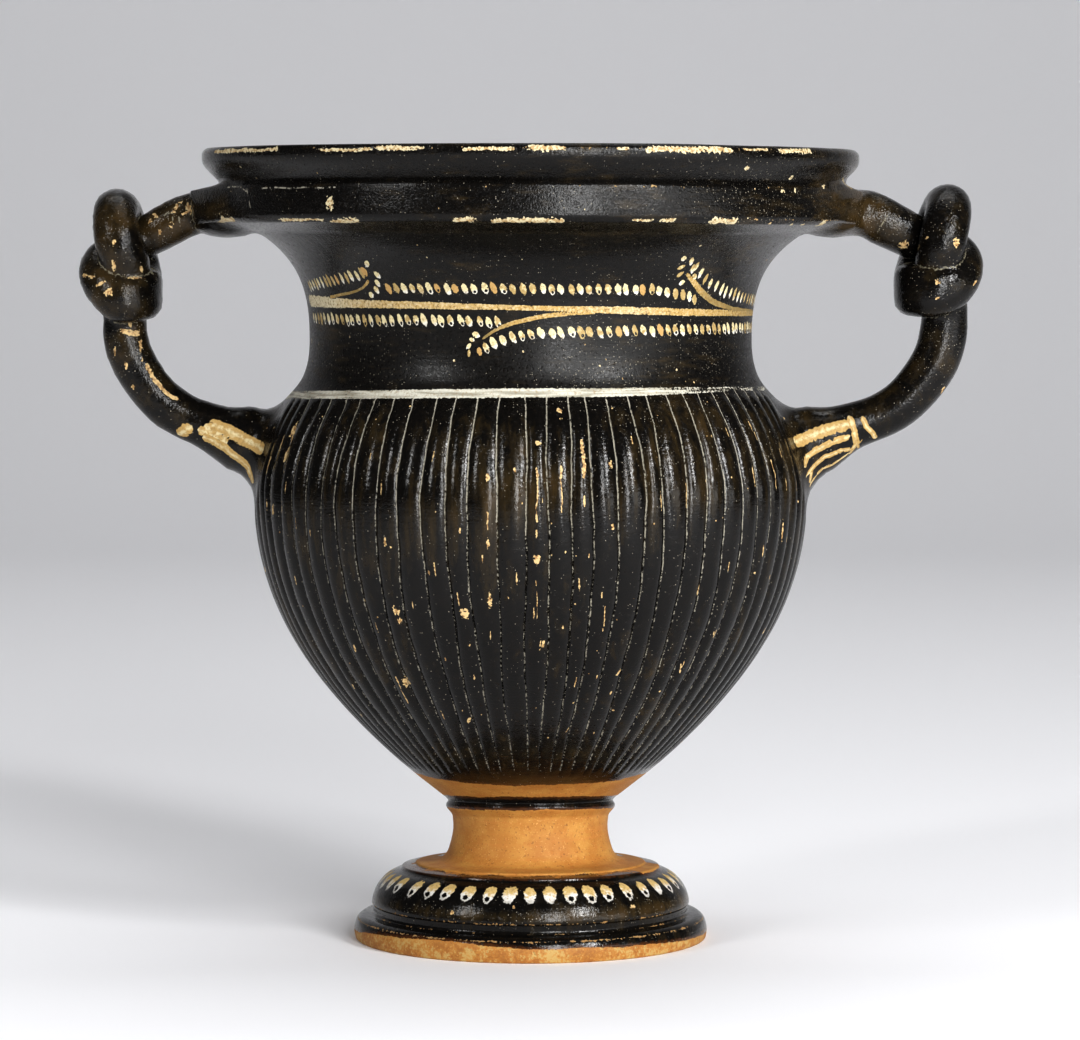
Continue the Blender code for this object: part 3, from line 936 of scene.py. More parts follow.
# painted highlight sparkle: the speck places on the collar, the neck and the rods lie where highlights fall,
# and their specks stand in for glints
dustAndSparklePlaces = (
    (44, -45, 149, 15, 1.0), (16, -44, 118, 14, 0.8), (34, -30, 122, 12, 0.9), (36, -38, 140, 12, 0.7),
    (-28, -34, 116, 12, 0.45), (70, -3, 146, 8, 0.6), (-72, -4, 146, 7, 0.9), (82, -4, 121, 8, 0.8),
    (-82, -4, 123, 8, 0.9), (-84, -8, 132, 8, 0.5), (84, -8, 138, 10, 0.5), (0, 50, 130, 22, 0.6),
)
thinSlipAndSheen = glow(thinPlaces) + 0.3 * smooth(heights, 70, 95) * (1 - smooth(heights, 106, 111))
dustAndSparkleAmount = glow(dustAndSparklePlaces)
paintedTorusSheen = np.exp(-(((heights - 8.6) / 1.3) ** 2)) * (radii > 30.5)  # painted sheen: a browner band with pale specks low on the torus stands in for its highlight band
thinSlipAndSheen += 1.1 * paintedTorusSheen
dustAndSparkleAmount += paintedTorusSheen


# edges rubbed bare all the way round: radius, height, width in mm, strength
rubbed = (
    (63.15, 151.75, 0.5, 0.5), (66.0, 158.9, 0.5, 0.5), (65.6, 157.0, 0.4, 0.3), (63.3, 145.4, 0.5, 0.6),
    (60.4, 144.3, 0.4, 0.42), (32.3, 7.1, 0.35, 0.66), (32.2, 5.2, 0.3, 0.56), (35.3, 4.3, 0.55, 0.72),
    (36.0, 2.0, 0.7, 0.6), (17.2, 27.6, 0.45, 0.52), (23.4, 15.2, 0.3, 0.6),
)
turnedHeights = heights - np.where(
    (heights < 33.2) | (radii > 21), np.interp(heights, *turned["lean"]) * frontness, 0)
wear = np.zeros(len(points))
for radius, height, width, strength in rubbed:
    away = (radii - radius) ** 2 + (turnedHeights - height) ** 2
    wear = np.maximum(wear, strength * np.exp(-away / width**2))


# pale soil left in the grooves and in the folds of the knots
soil = {"grooveWidth": 0.36, "foldWidth": 0.42, "intoLine": 0.2}
nearBody = (heights > 34) & (heights < 113.2) & (np.abs(radii - outsideRadius(heights)) < 1.4)
gaps = np.full(len(points), 9.0)
for start in range(0, len(points), 8000):
    rows = slice(start, start + 8000)
    off = (angles[rows, None] - grooveAngles(heights[rows]) + 180) % 360 - 180
    gaps[rows] = np.abs(np.radians(off)).min(axis=1) * radii[rows]
crease = np.clip(1 - gaps / soil["grooveWidth"], 0, 1)
crease *= smooth(whiteLineHeight(angles) + soil["intoLine"] - heights, -0.4, 0.4) * smooth(heights, 35.5, 38)
crease *= smooth(rootDistance(angles, heights, radii), ribs["rootClear"][0] + 1, ribs["rootClear"][1] - 1)
crease[~nearBody] = 0
fold = np.clip(1 - np.minimum(creaseDistance, plateDistance) / soil["foldWidth"], 0, 1)
crease = np.maximum(crease, 0.72 * fold)
print("slip, wear and soil laid out")


# painted dabs and strokes: places are (angle from the front, height in mm); tones run from
# 0 olive through ochre to 1 cream
branch = {
    "stem": {
        "line": ((-76, 129.4), (-62, 129.3), (-49.5, 129.15), (-28.9, 129.0), (-8.1, 128.7), (2.4, 128.5),
                 (24.4, 128.0), (43.7, 127.5), (70, 127.0), (98, 126.6)),
        "halfWidths": (1.25, 1.15, 0.84, 0.72, 0.54, 0.5, 0.76, 0.7, 0.6, 0.45),
        "tones": (1.0, 1.0, 0.7, 0.62, 0.6, 0.5, 0.72, 0.42, 0.22, 0.1),
    },
    "secondStem": {
        "line": ((-11.8, 122.6), (-8.2, 124.5), (-4.2, 125.7), (2.5, 126.9), (9, 127.5), (16, 127.7)),
        "halfWidths": (0.22, 0.34, 0.44, 0.46, 0.46, 0.36),
        "tones": (0.1, 0.25, 0.4, 0.46, 0.5, 0.5),
    },
    "leftTendril": {
        "line": ((-60, 130.3), (-55.9, 130.7), (-48.6, 131.4), (-44.6, 132.4), (-42.8, 133.5)),
        "halfWidths": (0.36, 0.32, 0.27, 0.25, 0.36),
        "tones": (0.4, 0.2, 0.1, 0.3, 0.45),
    },
    "rightTendril": {
        "line": ((82, 127.2), (70, 127.5), (60.6, 128.1), (52.4, 129.4), (46.7, 131.5), (43.5, 133.3),
                 (40.4, 134.9)),
        "halfWidths": (0.4, 0.46, 0.5, 0.62, 0.68, 0.62, 0.36),
        "tones": (0.1, 0.1, 0.12, 0.15, 0.3, 0.5, 0.3),
    },
    "backStem": {
        "line": ((112, 127.6), (140, 128.2), (170, 128.4), (200, 128.1), (230, 128.3), (252, 128.0)),
        "halfWidths": (0.4, 0.6, 0.7, 0.7, 0.6, 0.4),
        "tones": (0.2, 0.4, 0.6, 0.5, 0.4, 0.2),
    },
}
leafRows = {  # holed: share of the leaves with a dark spot; size: width and length against a full leaf
    "slanting": {
        "line": ((-73, 132.3), (-53.7, 133.9), (-45.9, 134.7), (-43.3, 135.3)),
        "gap": 1.62, "tilt": 13, "holed": 0.0, "size": (0.82, 1.05),
    },
    "upper": {
        "line": ((-36.8, 132.2), (-2.4, 132.3), (30.5, 132.0), (36.4, 131.4), (41.7, 130.7), (46.0, 129.9)),
        "gap": 1.87, "tilt": 20, "holed": 0.12, "size": (1.0, 1.0),
    },
    "lower": {
        "line": ((-75, 126.0), (-48, 125.9), (-28.4, 126.1), (-6.4, 125.8)),
        "gap": 1.87, "tilt": 20, "holed": 0.6, "size": (0.95, 1.08),
    },
    "second": {
        "line": ((-11.2, 120.8), (-9.3, 121.6), (-5.0, 122.8), (1.7, 123.7), (17.6, 123.9), (48, 124.2),
                 (94, 124.0)),
        "gap": 1.9, "tilt": 24, "holed": 0.5, "size": (0.98, 1.05),
    },
    "right": {
        "line": ((42.3, 136.4), (44.1, 135.5), (49.2, 133.2), (57.8, 131.3), (66.5, 130.3), (77.8, 129.6),
                 (94, 129.0)),
        "gap": 1.95, "tilt": -8, "holed": 0.0, "size": (0.8, 1.05),
    },
    "backUpper": {
        "line": ((116, 131.0), (180, 131.8), (248, 131.2)),
        "gap": 2.0, "tilt": 16, "holed": 0.1, "size": (1, 1),
    },
    "backLower": {
        "line": ((116, 124.6), (180, 125.0), (248, 124.8)),
        "gap": 2.0, "tilt": 16, "holed": 0.4, "size": (1, 1),
    },
}
singleLeaves = (  # angle, height, half length, half width, tilt
    (-39.1, 134.8, 0.85, 0.62, 40), (-39.8, 133.2, 0.85, 0.6, 35), (-40.6, 131.9, 0.85, 0.6, 30),
    (-42.7, 130.9, 0.7, 0.62, 60), (-41.0, 136.9, 0.95, 0.6, -35), (-43.0, 135.4, 1.1, 0.85, 20),
    (37.2, 138.0, 0.75, 0.66, 5), (37.6, 136.3, 0.95, 0.5, -60), (38.1, 134.9, 0.95, 0.48, -50),
    (39.5, 133.3, 0.75, 0.5, -60), (39.9, 137.5, 1.1, 0.6, 12), (41.5, 136.0, 1.1, 0.62, 8),
    (42.9, 134.3, 0.9, 0.75, 0), (-13.5, 123.4, 0.85, 0.6, 60), (-14.5, 122.4, 0.6, 0.42, 70),
    (-15.4, 121.1, 0.7, 0.4, -40), (-15.3, 119.8, 0.7, 0.32, 0), (-12.6, 120.2, 0.9, 0.5, 20),
)
leaf = {"halfLength": 1.16, "halfWidth": 0.66, "tiltJitter": 5, "sizeJitter": 0.12}
footDots = {
    "front": (-61.7, -50.7, -41.7, -33.6, -24.6, -15.9, -7.9, -0.1, 7.5, 15.5, 23.3, 30.9, 40.2, 49.2,
              57.9, 66.4, 75.1, 83.5),
    "gap": 7.9, "height": 12.3, "rise": 0.3, "halfLength": 2.25, "halfWidth": 1.36,
    "slanted": (-63, -7, 14),  # from and to in degrees, slant
}
handleStrokes = (  # points in mm, half width; the ones marked True show on the hidden side too
    (((-70.3, -3.7, 102.5), (-69.2, -3.9, 103.5)), 1.3, True),
    (((-64.6, -4.9, 103.5), (-61.8, -5.8, 102.1)), 1.35, True),
    (((-63.6, -5.1, 104.3), (-60.2, -6.2, 103.0), (-57.0, -7.6, 101.3), (-54.3, -8.8, 99.9)), 1.35, True),
    (((-65.9, -4.5, 103.1), (-61.6, -5.8, 101.0)), 1.1, True),
    (((-65.1, -4.3, 101.7), (-61.3, -5.7, 99.7), (-59.6, -6.0, 98.2), (-57.5, -6.3, 95.9),
      (-55.6, -5.2, 93.6)), 0.95, True),
    (((53.4, -8.7, 101.2), (56.7, -7.2, 102.5), (60.0, -6.0, 103.6), (63.2, -5.2, 104.4)), 1.3, True),
    (((64.3, -4.6, 105.7), (65.2, -4.5, 102.5), (65.6, -3.2, 100.6), (64.5, -2.6, 98.8)), 0.72, True),
    (((54.8, -8.0, 96.6), (55.5, -7.9, 97.9), (57.5, -7.2, 99.3), (60.6, -6.1, 101.0), (63.7, -5.0, 101.9)),
     0.72, True),
    (((55.7, -5.0, 93.3), (56.6, -6.5, 95.4), (59.4, -6.3, 97.8), (62.5, -4.8, 99.2), (64.8, -3.0, 99.6)),
     0.55, False),
    (((56.5, -4.6, 92.2), (58.7, -4.5, 95.2), (61.4, -3.7, 96.8), (64.4, -2.8, 98.4)), 0.4, False),
    (((66.9, -4.7, 105.7), (67.7, -4.4, 103.9), (68.9, -3.8, 102.7), (69.5, -2.8, 101.8)), 0.55, False),
)

# chips down to the clay: angle, height, half length, half width in mm, lean in degrees
chips = (
    (-13.9, 70.1, 1.1, 0.75, 20), (-8.3, 72.7, 1.3, 0.4, 0), (-33.1, 55.4, 1.1, 0.6, 20),
    (-29.6, 70.2, 0.9, 0.55, 10), (-29.3, 68.2, 0.7, 0.45, 0), (-30.1, 83.7, 0.9, 0.3, 0),
    (-65.3, 88.3, 1.2, 0.4, 0), (-66.3, 101.5, 1.5, 0.5, 10), (-8.4, 96.7, 0.8, 0.35, 0),
    (-3.0, 97.7, 0.6, 0.3, 0), (1.3, 86.0, 0.7, 0.22, 0), (10.7, 92.0, 1.1, 0.22, 0),
    (6.6, 109.0, 0.6, 0.45, 10), (6.7, 107.6, 0.35, 0.25, 0), (1.7, 102.9, 0.55, 0.4, 60),
    (-8.3, 83.8, 0.8, 0.35, 0), (16.5, 87.0, 0.7, 0.4, 0), (16.4, 98.9, 0.6, 0.5, 0),
    (1.4, 81.0, 1.0, 0.7, 10), (22.0, 58.0, 0.8, 0.35, 0), (27.0, 92.0, 1.6, 0.18, 0),
    (-21.0, 78.0, 0.6, 0.3, 0), (38.0, 74.0, 0.9, 0.3, 0), (-45.0, 62.0, 0.8, 0.3, 0),
    (52.0, 96.0, 1.8, 0.25, 0), (-18.0, 48.0, 0.8, 0.3, 0), (3.0, 64.0, 0.9, 0.3, 0),
    (-63.5, 104.2, 1.6, 0.35, -15), (-70.5, 97.0, 2.4, 0.3, -10), (64.0, 84.0, 2.0, 0.2, 0),
    (-37.1, 148.6, 1.15, 0.85, 10), (52.7, 153.7, 0.5, 0.5, 0), (39.5, 155.3, 0.55, 0.6, 0),
    (78.2, 153.4, 0.3, 1.3, -20), (50.5, 151.0, 0.3, 0.55, 0), (54.4, 151.1, 0.4, 0.3, 0),
    (66.2, 152.0, 0.3, 0.6, 20), (66.4, 144.9, 1.2, 1.5, 20), (47.6, 144.9, 0.45, 0.5, 0),
    (54.6, 144.7, 0.4, 0.4, 0), (58.5, 144.7, 0.35, 0.8, 0), (-6.0, 10.6, 0.5, 0.35, 0),
    (-29.0, 9.0, 0.5, 0.45, 0), (40.0, 9.6, 0.5, 0.7, 0),
)
# long broken streaks along the crests: angle, top, bottom, half width
streakChips = (
    (1.4, 98.6, 87.9, 0.2), (10.9, 103.9, 96.0, 0.42), (6.2, 99.3, 89.8, 0.16), (-8.3, 90.5, 84.0, 0.17),
    (-63.0, 105.0, 98.0, 0.28), (33.2, 96.0, 90.0, 0.12), (1.4, 76.0, 68.0, 0.12), (60.0, 99.0, 92.0, 0.15),
    (-35.5, 57.0, 51.0, 0.15), (16.0, 72.0, 66.0, 0.12),
)
hiddenChips = {"count": 60, "angles": (80, 285), "heights": (40, 150)}
crestChips = {
    "count": 60, "angles": (-78, 78), "heights": (44, 106),
    "halfLength": (0.3, 1.4), "halfWidth": (0.09, 0.19),
}
specks = {"count": 210, "halfLength": (0.12, 0.26), "heights": (40, 156)}
handleChips = (  # x, y, z, half length, half width, lean
    (-78.6, -3.2, 120.4, 1.5, 0.4, -8), (-78.2, -3.7, 117.4, 0.7, 0.25, 0),
    (-80.0, -3.7, 111.9, 0.6, 0.4, 0), (83.0, -1.9, 111.3, 0.8, 0.4, 0), (-83.2, -9.2, 136.4, 1.1, 0.5, 0),
    (-89.1, -5.8, 134.3, 0.45, 0.9, 0), (-87.6, -7.4, 134.1, 0.3, 0.8, 0),
    (-84.0, -9.7, 131.2, 0.75, 0.9, 20), (-79.1, -7.8, 133.6, 0.3, 1.5, 0),
    (-78.5, -7.0, 136.0, 0.6, 0.4, 20), (-83.1, -10.2, 141.0, 0.6, 0.35, 0),
    (-86.0, -8.7, 132.7, 0.35, 1.2, 25), (-68.5, -3.9, 147.9, 1.3, 0.5, 15),
    (-71.0, -3.6, 148.1, 1.3, 0.45, -30), (-75.5, -2.9, 146.5, 0.35, 0.9, -30),
    (-74.4, -3.7, 143.1, 0.5, 0.4, 0), (-72.0, -4.1, 144.5, 0.6, 0.4, 0), (-76.4, -3.0, 145.0, 0.7, 0.4, 0),
    (-80.4, -4.2, 124.6, 0.6, 0.3, 0), (-83.4, -3.6, 119.0, 0.9, 0.3, 0), (-81.3, -4.1, 116.4, 0.8, 0.3, 0),
    (75.1, -2.9, 140.7, 0.8, 0.8, 0), (84.9, -9.8, 140.9, 0.9, 0.7, 20), (79.4, -8.9, 141.9, 0.35, 0.4, 0),
    (81.2, -10.1, 133.1, 0.5, 0.45, 0), (81.4, -10.2, 130.0, 0.25, 0.6, 20),
    (83.5, 4.4, 126.0, 1.0, 0.5, 0), (-84.0, 5.0, 119.0, 1.0, 0.5, 0), (-88.0, 3.0, 141.0, 0.9, 0.5, 0),
    (90.0, 2.0, 137.0, 0.9, 0.5, 0), (88.6, -6.6, 133.0, 0.3, 0.9, 40),
)
handleStreaks = (  # points in mm, half width
    (((-82.0, -3.9, 123.3), (-80.4, -4.2, 122.9), (-78.8, -3.6, 122.8)), 0.62),
    (((-77.2, -3.6, 116.0), (-76.0, -3.8, 113.8), (-74.2, -3.9, 111.8), (-72.6, -3.9, 110.4),
      (-70.8, -3.8, 109.6)), 0.48),
    (((-67.6, -4.0, 147.4), (-70.0, -3.9, 146.6)), 0.3),
)
# worn stretches of the two edges: from and to in degrees, height, half width in mm
wornEdges = (
    (-69.7, -47.4, 158.9, 0.42), (-37.7, -26.5, 158.7, 0.38), (-26.1, -17.6, 158.9, 0.5),
    (-10.8, -2.1, 158.6, 0.34), (-0.1, 6.1, 158.9, 0.6), (14.4, 16.4, 158.8, 0.4),
    (19.7, 35.4, 158.7, 0.62), (37.8, 44.3, 158.9, 0.3), (46.5, 55.1, 158.8, 0.5), (98, 112, 158.8, 0.4),
    (131, 139, 158.8, 0.55), (158, 176, 158.9, 0.4), (201, 206, 158.8, 0.5), (233, 251, 158.8, 0.5),
    (-79.5, -67.5, 145.5, 0.8), (-50.2, -38.7, 145.3, 0.42), (-37.6, -32.3, 144.9, 0.95),
    (-13.0, -9.7, 145.2, 0.8), (-6.1, 5.4, 145.1, 1.0), (18.3, 21.5, 145.2, 0.42), (22.5, 25.5, 145.3, 0.5),
    (33.7, 38.5, 145.2, 0.85), (104, 109, 145.2, 0.8), (143, 160, 145.2, 0.6), (190, 194, 145.2, 0.9),
    (222, 240, 145.2, 0.7),
)
# hairline cracks and seams with pale soil in them: points in mm
cracks = (
    ((-65.7, -12.6, 151.4), (-62.3, -18.3, 152.0), (-59.2, -23.5, 152.3), (-56.7, -27.3, 151.9),
     (-55.2, -30.8, 150.9), (-54.5, -32.2, 147.8)),
    ((-52.8, -34.4, 151.5), (-49.2, -39.4, 151.7), (-46.0, -43.1, 151.5), (-42.9, -46.2, 151.7),
     (-39.4, -49.2, 151.5), (-36.0, -51.7, 151.7)),
    ((-70.4, -3.4, 148.7), (-70.6, -4.2, 146.9), (-70.5, -4.2, 145.3), (-69.8, -3.2, 143.1)),
    ((69.7, -3.7, 143.2), (71.5, -4.0, 146.2)),
    ((-74.0, -3.9, 146.0), (-73.0, -4.1, 147.2), (-71.9, -4.0, 146.6), (-71.7, -4.2, 144.9),
     (-73.2, -4.0, 143.9)),
)
paintKinds = {"leaf": 0, "stem": 1, "whiteLine": 2, "footDot": 3, "handle": 4, "chip": 5, "crack": 6}


tree = BVHTree.FromPolygons(points.tolist(), [tuple(face.vertices) for face in skin.polygons])


def onSkin(place):
    spot, normal, _, _ = tree.find_nearest(Vector(place))
    return np.array(spot), np.array(normal)


def onPot(angle, height):
    turn, radius = math.radians(angle), float(outsideRadius(height))
    return onSkin((radius * math.sin(turn), -radius * math.cos(turn), height))


marks = []  # one dictionary for each dab, or each short piece of a stroke


def addDab(spot, halfLength, halfWidth, tilt, kind, fade=0.0):
    centre, normal = spot
    sideways = np.array((-normal[1], normal[0], 0.0))
    sideways /= np.linalg.norm(sideways) + 1e-9
    upward = np.cross(normal, sideways)
    upward /= np.linalg.norm(upward)
    lean = math.radians(tilt)
    along = upward * math.cos(lean) - sideways * math.sin(lean)
    marks.append({
        "start": centre, "along": along, "across": np.cross(normal, along), "length": 0.0,
        "size": (halfLength, halfWidth), "kind": paintKinds[kind] + dice.uniform(0.02, 0.98), "fade": fade,
    })


def addStroke(places, halfWidths, kind, fades=None, capped=True):
    tone = paintKinds[kind] + dice.uniform(0.02, 0.98)
    last = len(places) - 2
    for i, (start, end) in enumerate(zip(places[:-1], places[1:])):
        start, end = np.array(start), np.array(end)
        normal = onSkin((start + end) / 2)[1]
        length = np.linalg.norm(end - start)
        along = (end - start) / length
        across = np.cross(normal, along)
        marks.append({
            "start": start, "along": along, "across": across / np.linalg.norm(across), "length": length,
            "size": (halfWidths[i], halfWidths[i + 1]), "kind": tone, "fade": fades[i] if fades else 0.0,
            "caps": (capped and i == 0, capped and i == last),
        })


def alongRow(line, gap):  # evenly spaced (angle, height) along a row
    line = np.array(line)
    flat = np.column_stack((np.radians(line[:, 0]) * outsideRadius(line[:, 1]), line[:, 1]))
    along = lengthsAlong(flat)
    places = np.arange(0, along[-1] + 0.3 * gap, gap)
    return np.interp(places, along, line[:, 0]), np.interp(places, along, line[:, 1])


for stem in branch.values():
    line = np.array(stem["line"])
    count = int(abs(line[-1, 0] - line[0, 0]) / 2.5) + 2
    at = np.linspace(0, len(line) - 1, count)
    widths = np.interp(at, range(len(line)), stem["halfWidths"])
    wander = [0.09 * noise.noise(Vector((k * 0.7, line[0, 0], 3))) for k in range(count)]
    turns, levels = (np.interp(at, range(len(line)), line[:, k]) for k in (0, 1))
    places = [onPot(turn, level + off)[0] for turn, level, off in zip(turns, levels, wander)]
    tones = list(np.interp(at, range(len(line)), stem["tones"]))
    addStroke(places, list(widths * (1 + np.array(wander))), "stem", tones)
for row in leafRows.values():
    for angle, height in zip(*alongRow(row["line"], row["gap"])):
        wide, long = (size * (1 + leaf["sizeJitter"] * dice.uniform(-1, 1)) for size in row["size"])
        holed = dice.random() < row["holed"]
        addDab(
            onPot(angle + dice.uniform(-0.3, 0.3), height + dice.uniform(-0.13, 0.13)),
            leaf["halfLength"] * long, leaf["halfWidth"] * wide,
            row["tilt"] + leaf["tiltJitter"] * dice.uniform(-1, 1),
            "leaf", dice.uniform(0, 0.5) + 0.5 * holed,
        )
for angle, height, halfLength, halfWidth, tilt in singleLeaves:
    addDab(onPot(angle, height), halfLength, halfWidth, tilt, "leaf", dice.uniform(0, 0.5))
firstDot, lastDot = footDots["front"][0], footDots["front"][-1]
unseen = 360 + firstDot - lastDot
hiddenDots = round(unseen / footDots["gap"]) - 1
slantFrom, slantTo, slant = footDots["slanted"]
backDots = tuple(lastDot + unseen * (k + 1) / (hiddenDots + 1) for k in range(hiddenDots))
for angle in footDots["front"] + backDots:
    lifted = footDots["height"] + footDots["rise"] * math.cos(math.radians(angle)) + dice.uniform(-0.1, 0.1)
    addDab(
        onPot(angle, lifted), footDots["halfLength"] * dice.uniform(0.93, 1.05),
        footDots["halfWidth"] * dice.uniform(0.88, 1.1),
        dice.uniform(-4, 4) - slant * (slantFrom < angle < slantTo), "footDot", dice.random(),
    )
for places, halfWidth, both in handleStrokes:
    for flip in (1, -1) if both else (1,):
        snapped = [onSkin((x, flip * y, z))[0] for x, y, z in places]
        addStroke(snapped, [halfWidth] * len(snapped), "handle", [dice.random()] * len(snapped))
for angle, height, halfLength, halfWidth, tilt in chips:
    addDab(onPot(angle, height), halfLength, halfWidth, tilt, "chip")
for x, y, z, halfLength, halfWidth, tilt in handleChips:
    addDab(onSkin((x, y, z)), halfLength, halfWidth, tilt, "chip")
for _ in range(hiddenChips["count"]):
    size = dice.uniform(0.3, 0.8)
    addDab(onPot(dice.uniform(*hiddenChips["angles"]), dice.uniform(*hiddenChips["heights"])),
           size * dice.uniform(1, 1.8), size * 0.7, dice.uniform(-20, 20), "chip")
ribAngles = grooves + np.diff(np.append(grooves, grooves[0] + 360)) / 2
leftmost, rightmost = crestChips["angles"]
onFront = [angle for angle in (ribAngles + 180) % 360 - 180 if leftmost < angle < rightmost]
for _ in range(crestChips["count"]):
    spot = onPot(dice.choice(onFront) + dice.uniform(-1.2, 1.2), dice.uniform(*crestChips["heights"]))
    halfLength, halfWidth = dice.uniform(*crestChips["halfLength"]), dice.uniform(*crestChips["halfWidth"])
    addDab(spot, halfLength, halfWidth, dice.uniform(-4, 4), "chip")
for _ in range(specks["count"]):
    size = dice.uniform(*specks["halfLength"])
    spot = onPot(dice.uniform(-180, 180), dice.uniform(*specks["heights"]))
    addDab(spot, size, size * dice.uniform(0.7, 1), 0, "chip")
for angle, top, bottom, halfWidth in streakChips:
    steps = max(2, round((top - bottom) / 1.6))
    levels = np.linspace(top, bottom, steps + 1)
    addStroke([onPot(angle + dice.uniform(-0.2, 0.2), level)[0] for level in levels],
              [halfWidth * dice.uniform(0.5, 1.3) for _ in levels], "chip")
for places, halfWidth in handleStreaks:
    widths = [halfWidth * dice.uniform(0.7, 1.2) for _ in places]
    addStroke([onSkin(place)[0] for place in places], widths, "chip")
for start, stop, height, halfWidth in wornEdges:
    steps = max(2, round((stop - start) / 2))
    places, widths = [], []
    for k in range(steps + 1):
        wobble = dice.uniform(-0.15, 0.15)
        places.append(onPot(start + (stop - start) * k / steps, height + wobble)[0])
        widths.append(halfWidth * dice.uniform(0.6, 1.1))
    addStroke(places, widths, "chip")
for line in cracks:
    addStroke([onSkin(place)[0] for place in line], [0.15] * len(line), "crack")
lineAngles = np.arange(-180, 181, 3.0)
linePlaces = []
for angle in lineAngles:
    turn, height = math.radians(angle), float(whiteLineHeight(angle))
    radius = float(outsideRadius(height))
    linePlaces.append(np.array((radius * math.sin(turn), -radius * math.cos(turn), height)))
lineFade = np.interp(lineAngles, whiteLine["angles"], whiteLine["fades"])
lineWidths = np.interp(lineAngles, whiteLine["angles"], whiteLine["halfWidths"])
addStroke(linePlaces, list(lineWidths), "whiteLine", list(lineFade), capped=False)
print(len(marks), "painted marks")


# each face takes the nearest mark, and its corners take their place within that mark
faceCount = len(skin.polygons)
corners = np.empty(faceCount * 3, int)
skin.loops.foreach_get("vertex_index", corners)
corners = corners.reshape(-1, 3)
centres = points[corners].mean(axis=1)
first, second, third = (points[corners[:, k]] for k in range(3))
facing = np.cross(second - first, third - first)
facing /= np.linalg.norm(facing, axis=1)[:, None] + 1e-12
nearest = np.full(faceCount, -1)
closeness = np.full(faceCount, 99.0)


def placeInMark(mark, spots, forPicking=False):
    offset = spots - mark["start"]
    along, across = offset @ mark["along"], offset @ mark["across"]
    if mark["length"] == 0:
        return along / mark["size"][0], across / mark["size"][1]
    share = np.clip(along / mark["length"], 0, 1)
    width = mark["size"][0] + (mark["size"][1] - mark["size"][0]) * share
    before, beyond = np.maximum(0, -along), np.maximum(0, along - mark["length"])
    if not forPicking:
        before, beyond = before * mark["caps"][0], beyond * mark["caps"][1]
    return (before + beyond) / width, across / width


order = np.argsort(centres[:, 2])
sortedHeights = centres[order, 2]
for index, mark in enumerate(marks):
    widest = 1 + 1.15 / min(mark["size"])  # far enough to catch faces whose middle is outside the mark
    reach = max(mark["size"]) * widest + mark["length"]
    low, high = np.searchsorted(sortedHeights, (mark["start"][2] - reach, mark["start"][2] + reach))
    some = order[low:high]
    some = some[np.linalg.norm(centres[some] - mark["start"], axis=1) < reach]
    some = some[facing[some] @ np.cross(mark["along"], mark["across"]) > -0.3]  # not the wall's far side
    r = np.hypot(*placeInMark(mark, centres[some], True))
    if int(mark["kind"]) == paintKinds["whiteLine"]:
        r = r + 0.15  # strokes beside the line win over it
    better = (r < closeness[some]) & (r < widest)
    closeness[some[better]] = r[better]
    nearest[some[better]] = index
placed = np.full((faceCount, 3, 3), 9.0)
fades = np.zeros((faceCount, 3))
for index, mark in enumerate(marks):
    some = np.nonzero(nearest == index)[0]
    if not len(some):
        continue
    along, across = placeInMark(mark, points[corners[some]].reshape(-1, 3))
    placed[some, :, 0] = along.reshape(-1, 3)
    placed[some, :, 1] = across.reshape(-1, 3)
    placed[some, :, 2] = mark["kind"]
    fades[some] = mark["fade"]



def store(name, kind, domain, setting, values):
    layer = skin.attributes.new(name, kind, domain)
    layer.data.foreach_set(setting, values.astype(np.float32).ravel())


for name, values in (("slip", slip), ("wear", wear), ("soil", crease), ("thinSlipAndSheen", thinSlipAndSheen), ("dustAndSparkle", dustAndSparkleAmount)):
    store(name, "FLOAT", "POINT", "value", values)
store("paint", "FLOAT_VECTOR", "CORNER", "vector", placed)
store("paintFade", "FLOAT", "CORNER", "value", fades)
print("paint laid on", int((nearest >= 0).sum()), "of", faceCount, "faces")


# the fired surface: clay, slip over it, paint on the slip, wear through both, soil in the hollows
clayTones = {
    "dark": (171, 118, 55), "light": (186, 139, 71), "mottled": (175, 118, 57), "turned": (184, 124, 62),
    "grit": (238, 198, 130), "iron": (110, 72, 38), "rubbed": (190, 164, 104), "footDarkened": (140, 90, 44),
}
slipTones = {
    "deep": (10, 9, 8), "soft": (19, 16, 13), "thinSlipAndSheen": (41, 33, 19), "thinnest": (74, 57, 31),
    "hem": (92, 54, 26),
}
chipTones = {
    "low": (204, 178, 130), "lowDark": (158, 124, 80), "high": (208, 196, 162), "highDark": (174, 146, 102),
}
leafTones = {
    "cream": (215, 203, 162), "ochre": (175, 152, 102), "tip": (222, 220, 212), "ruddy": (188, 152, 96),
}
stemTones = {
    "dark": (128, 110, 66), "middle": (182, 152, 92), "pale": (206, 194, 162), "bright": (230, 222, 196),
    "pitted": (92, 76, 46),
}
lineTones = {"white": (210, 208, 195), "grey": (160, 156, 141)}
# the dots' edge tone is painted shade on the lower tip of each dot
dotTones = {"top": (204, 178, 119), "foot": (218, 216, 210), "edge": (150, 146, 138)}
strokeTones = {"cream": (206, 192, 152), "ochre": (180, 150, 94)}
agedTones = {"crackle": (120, 92, 52), "stain": (150, 122, 78)}
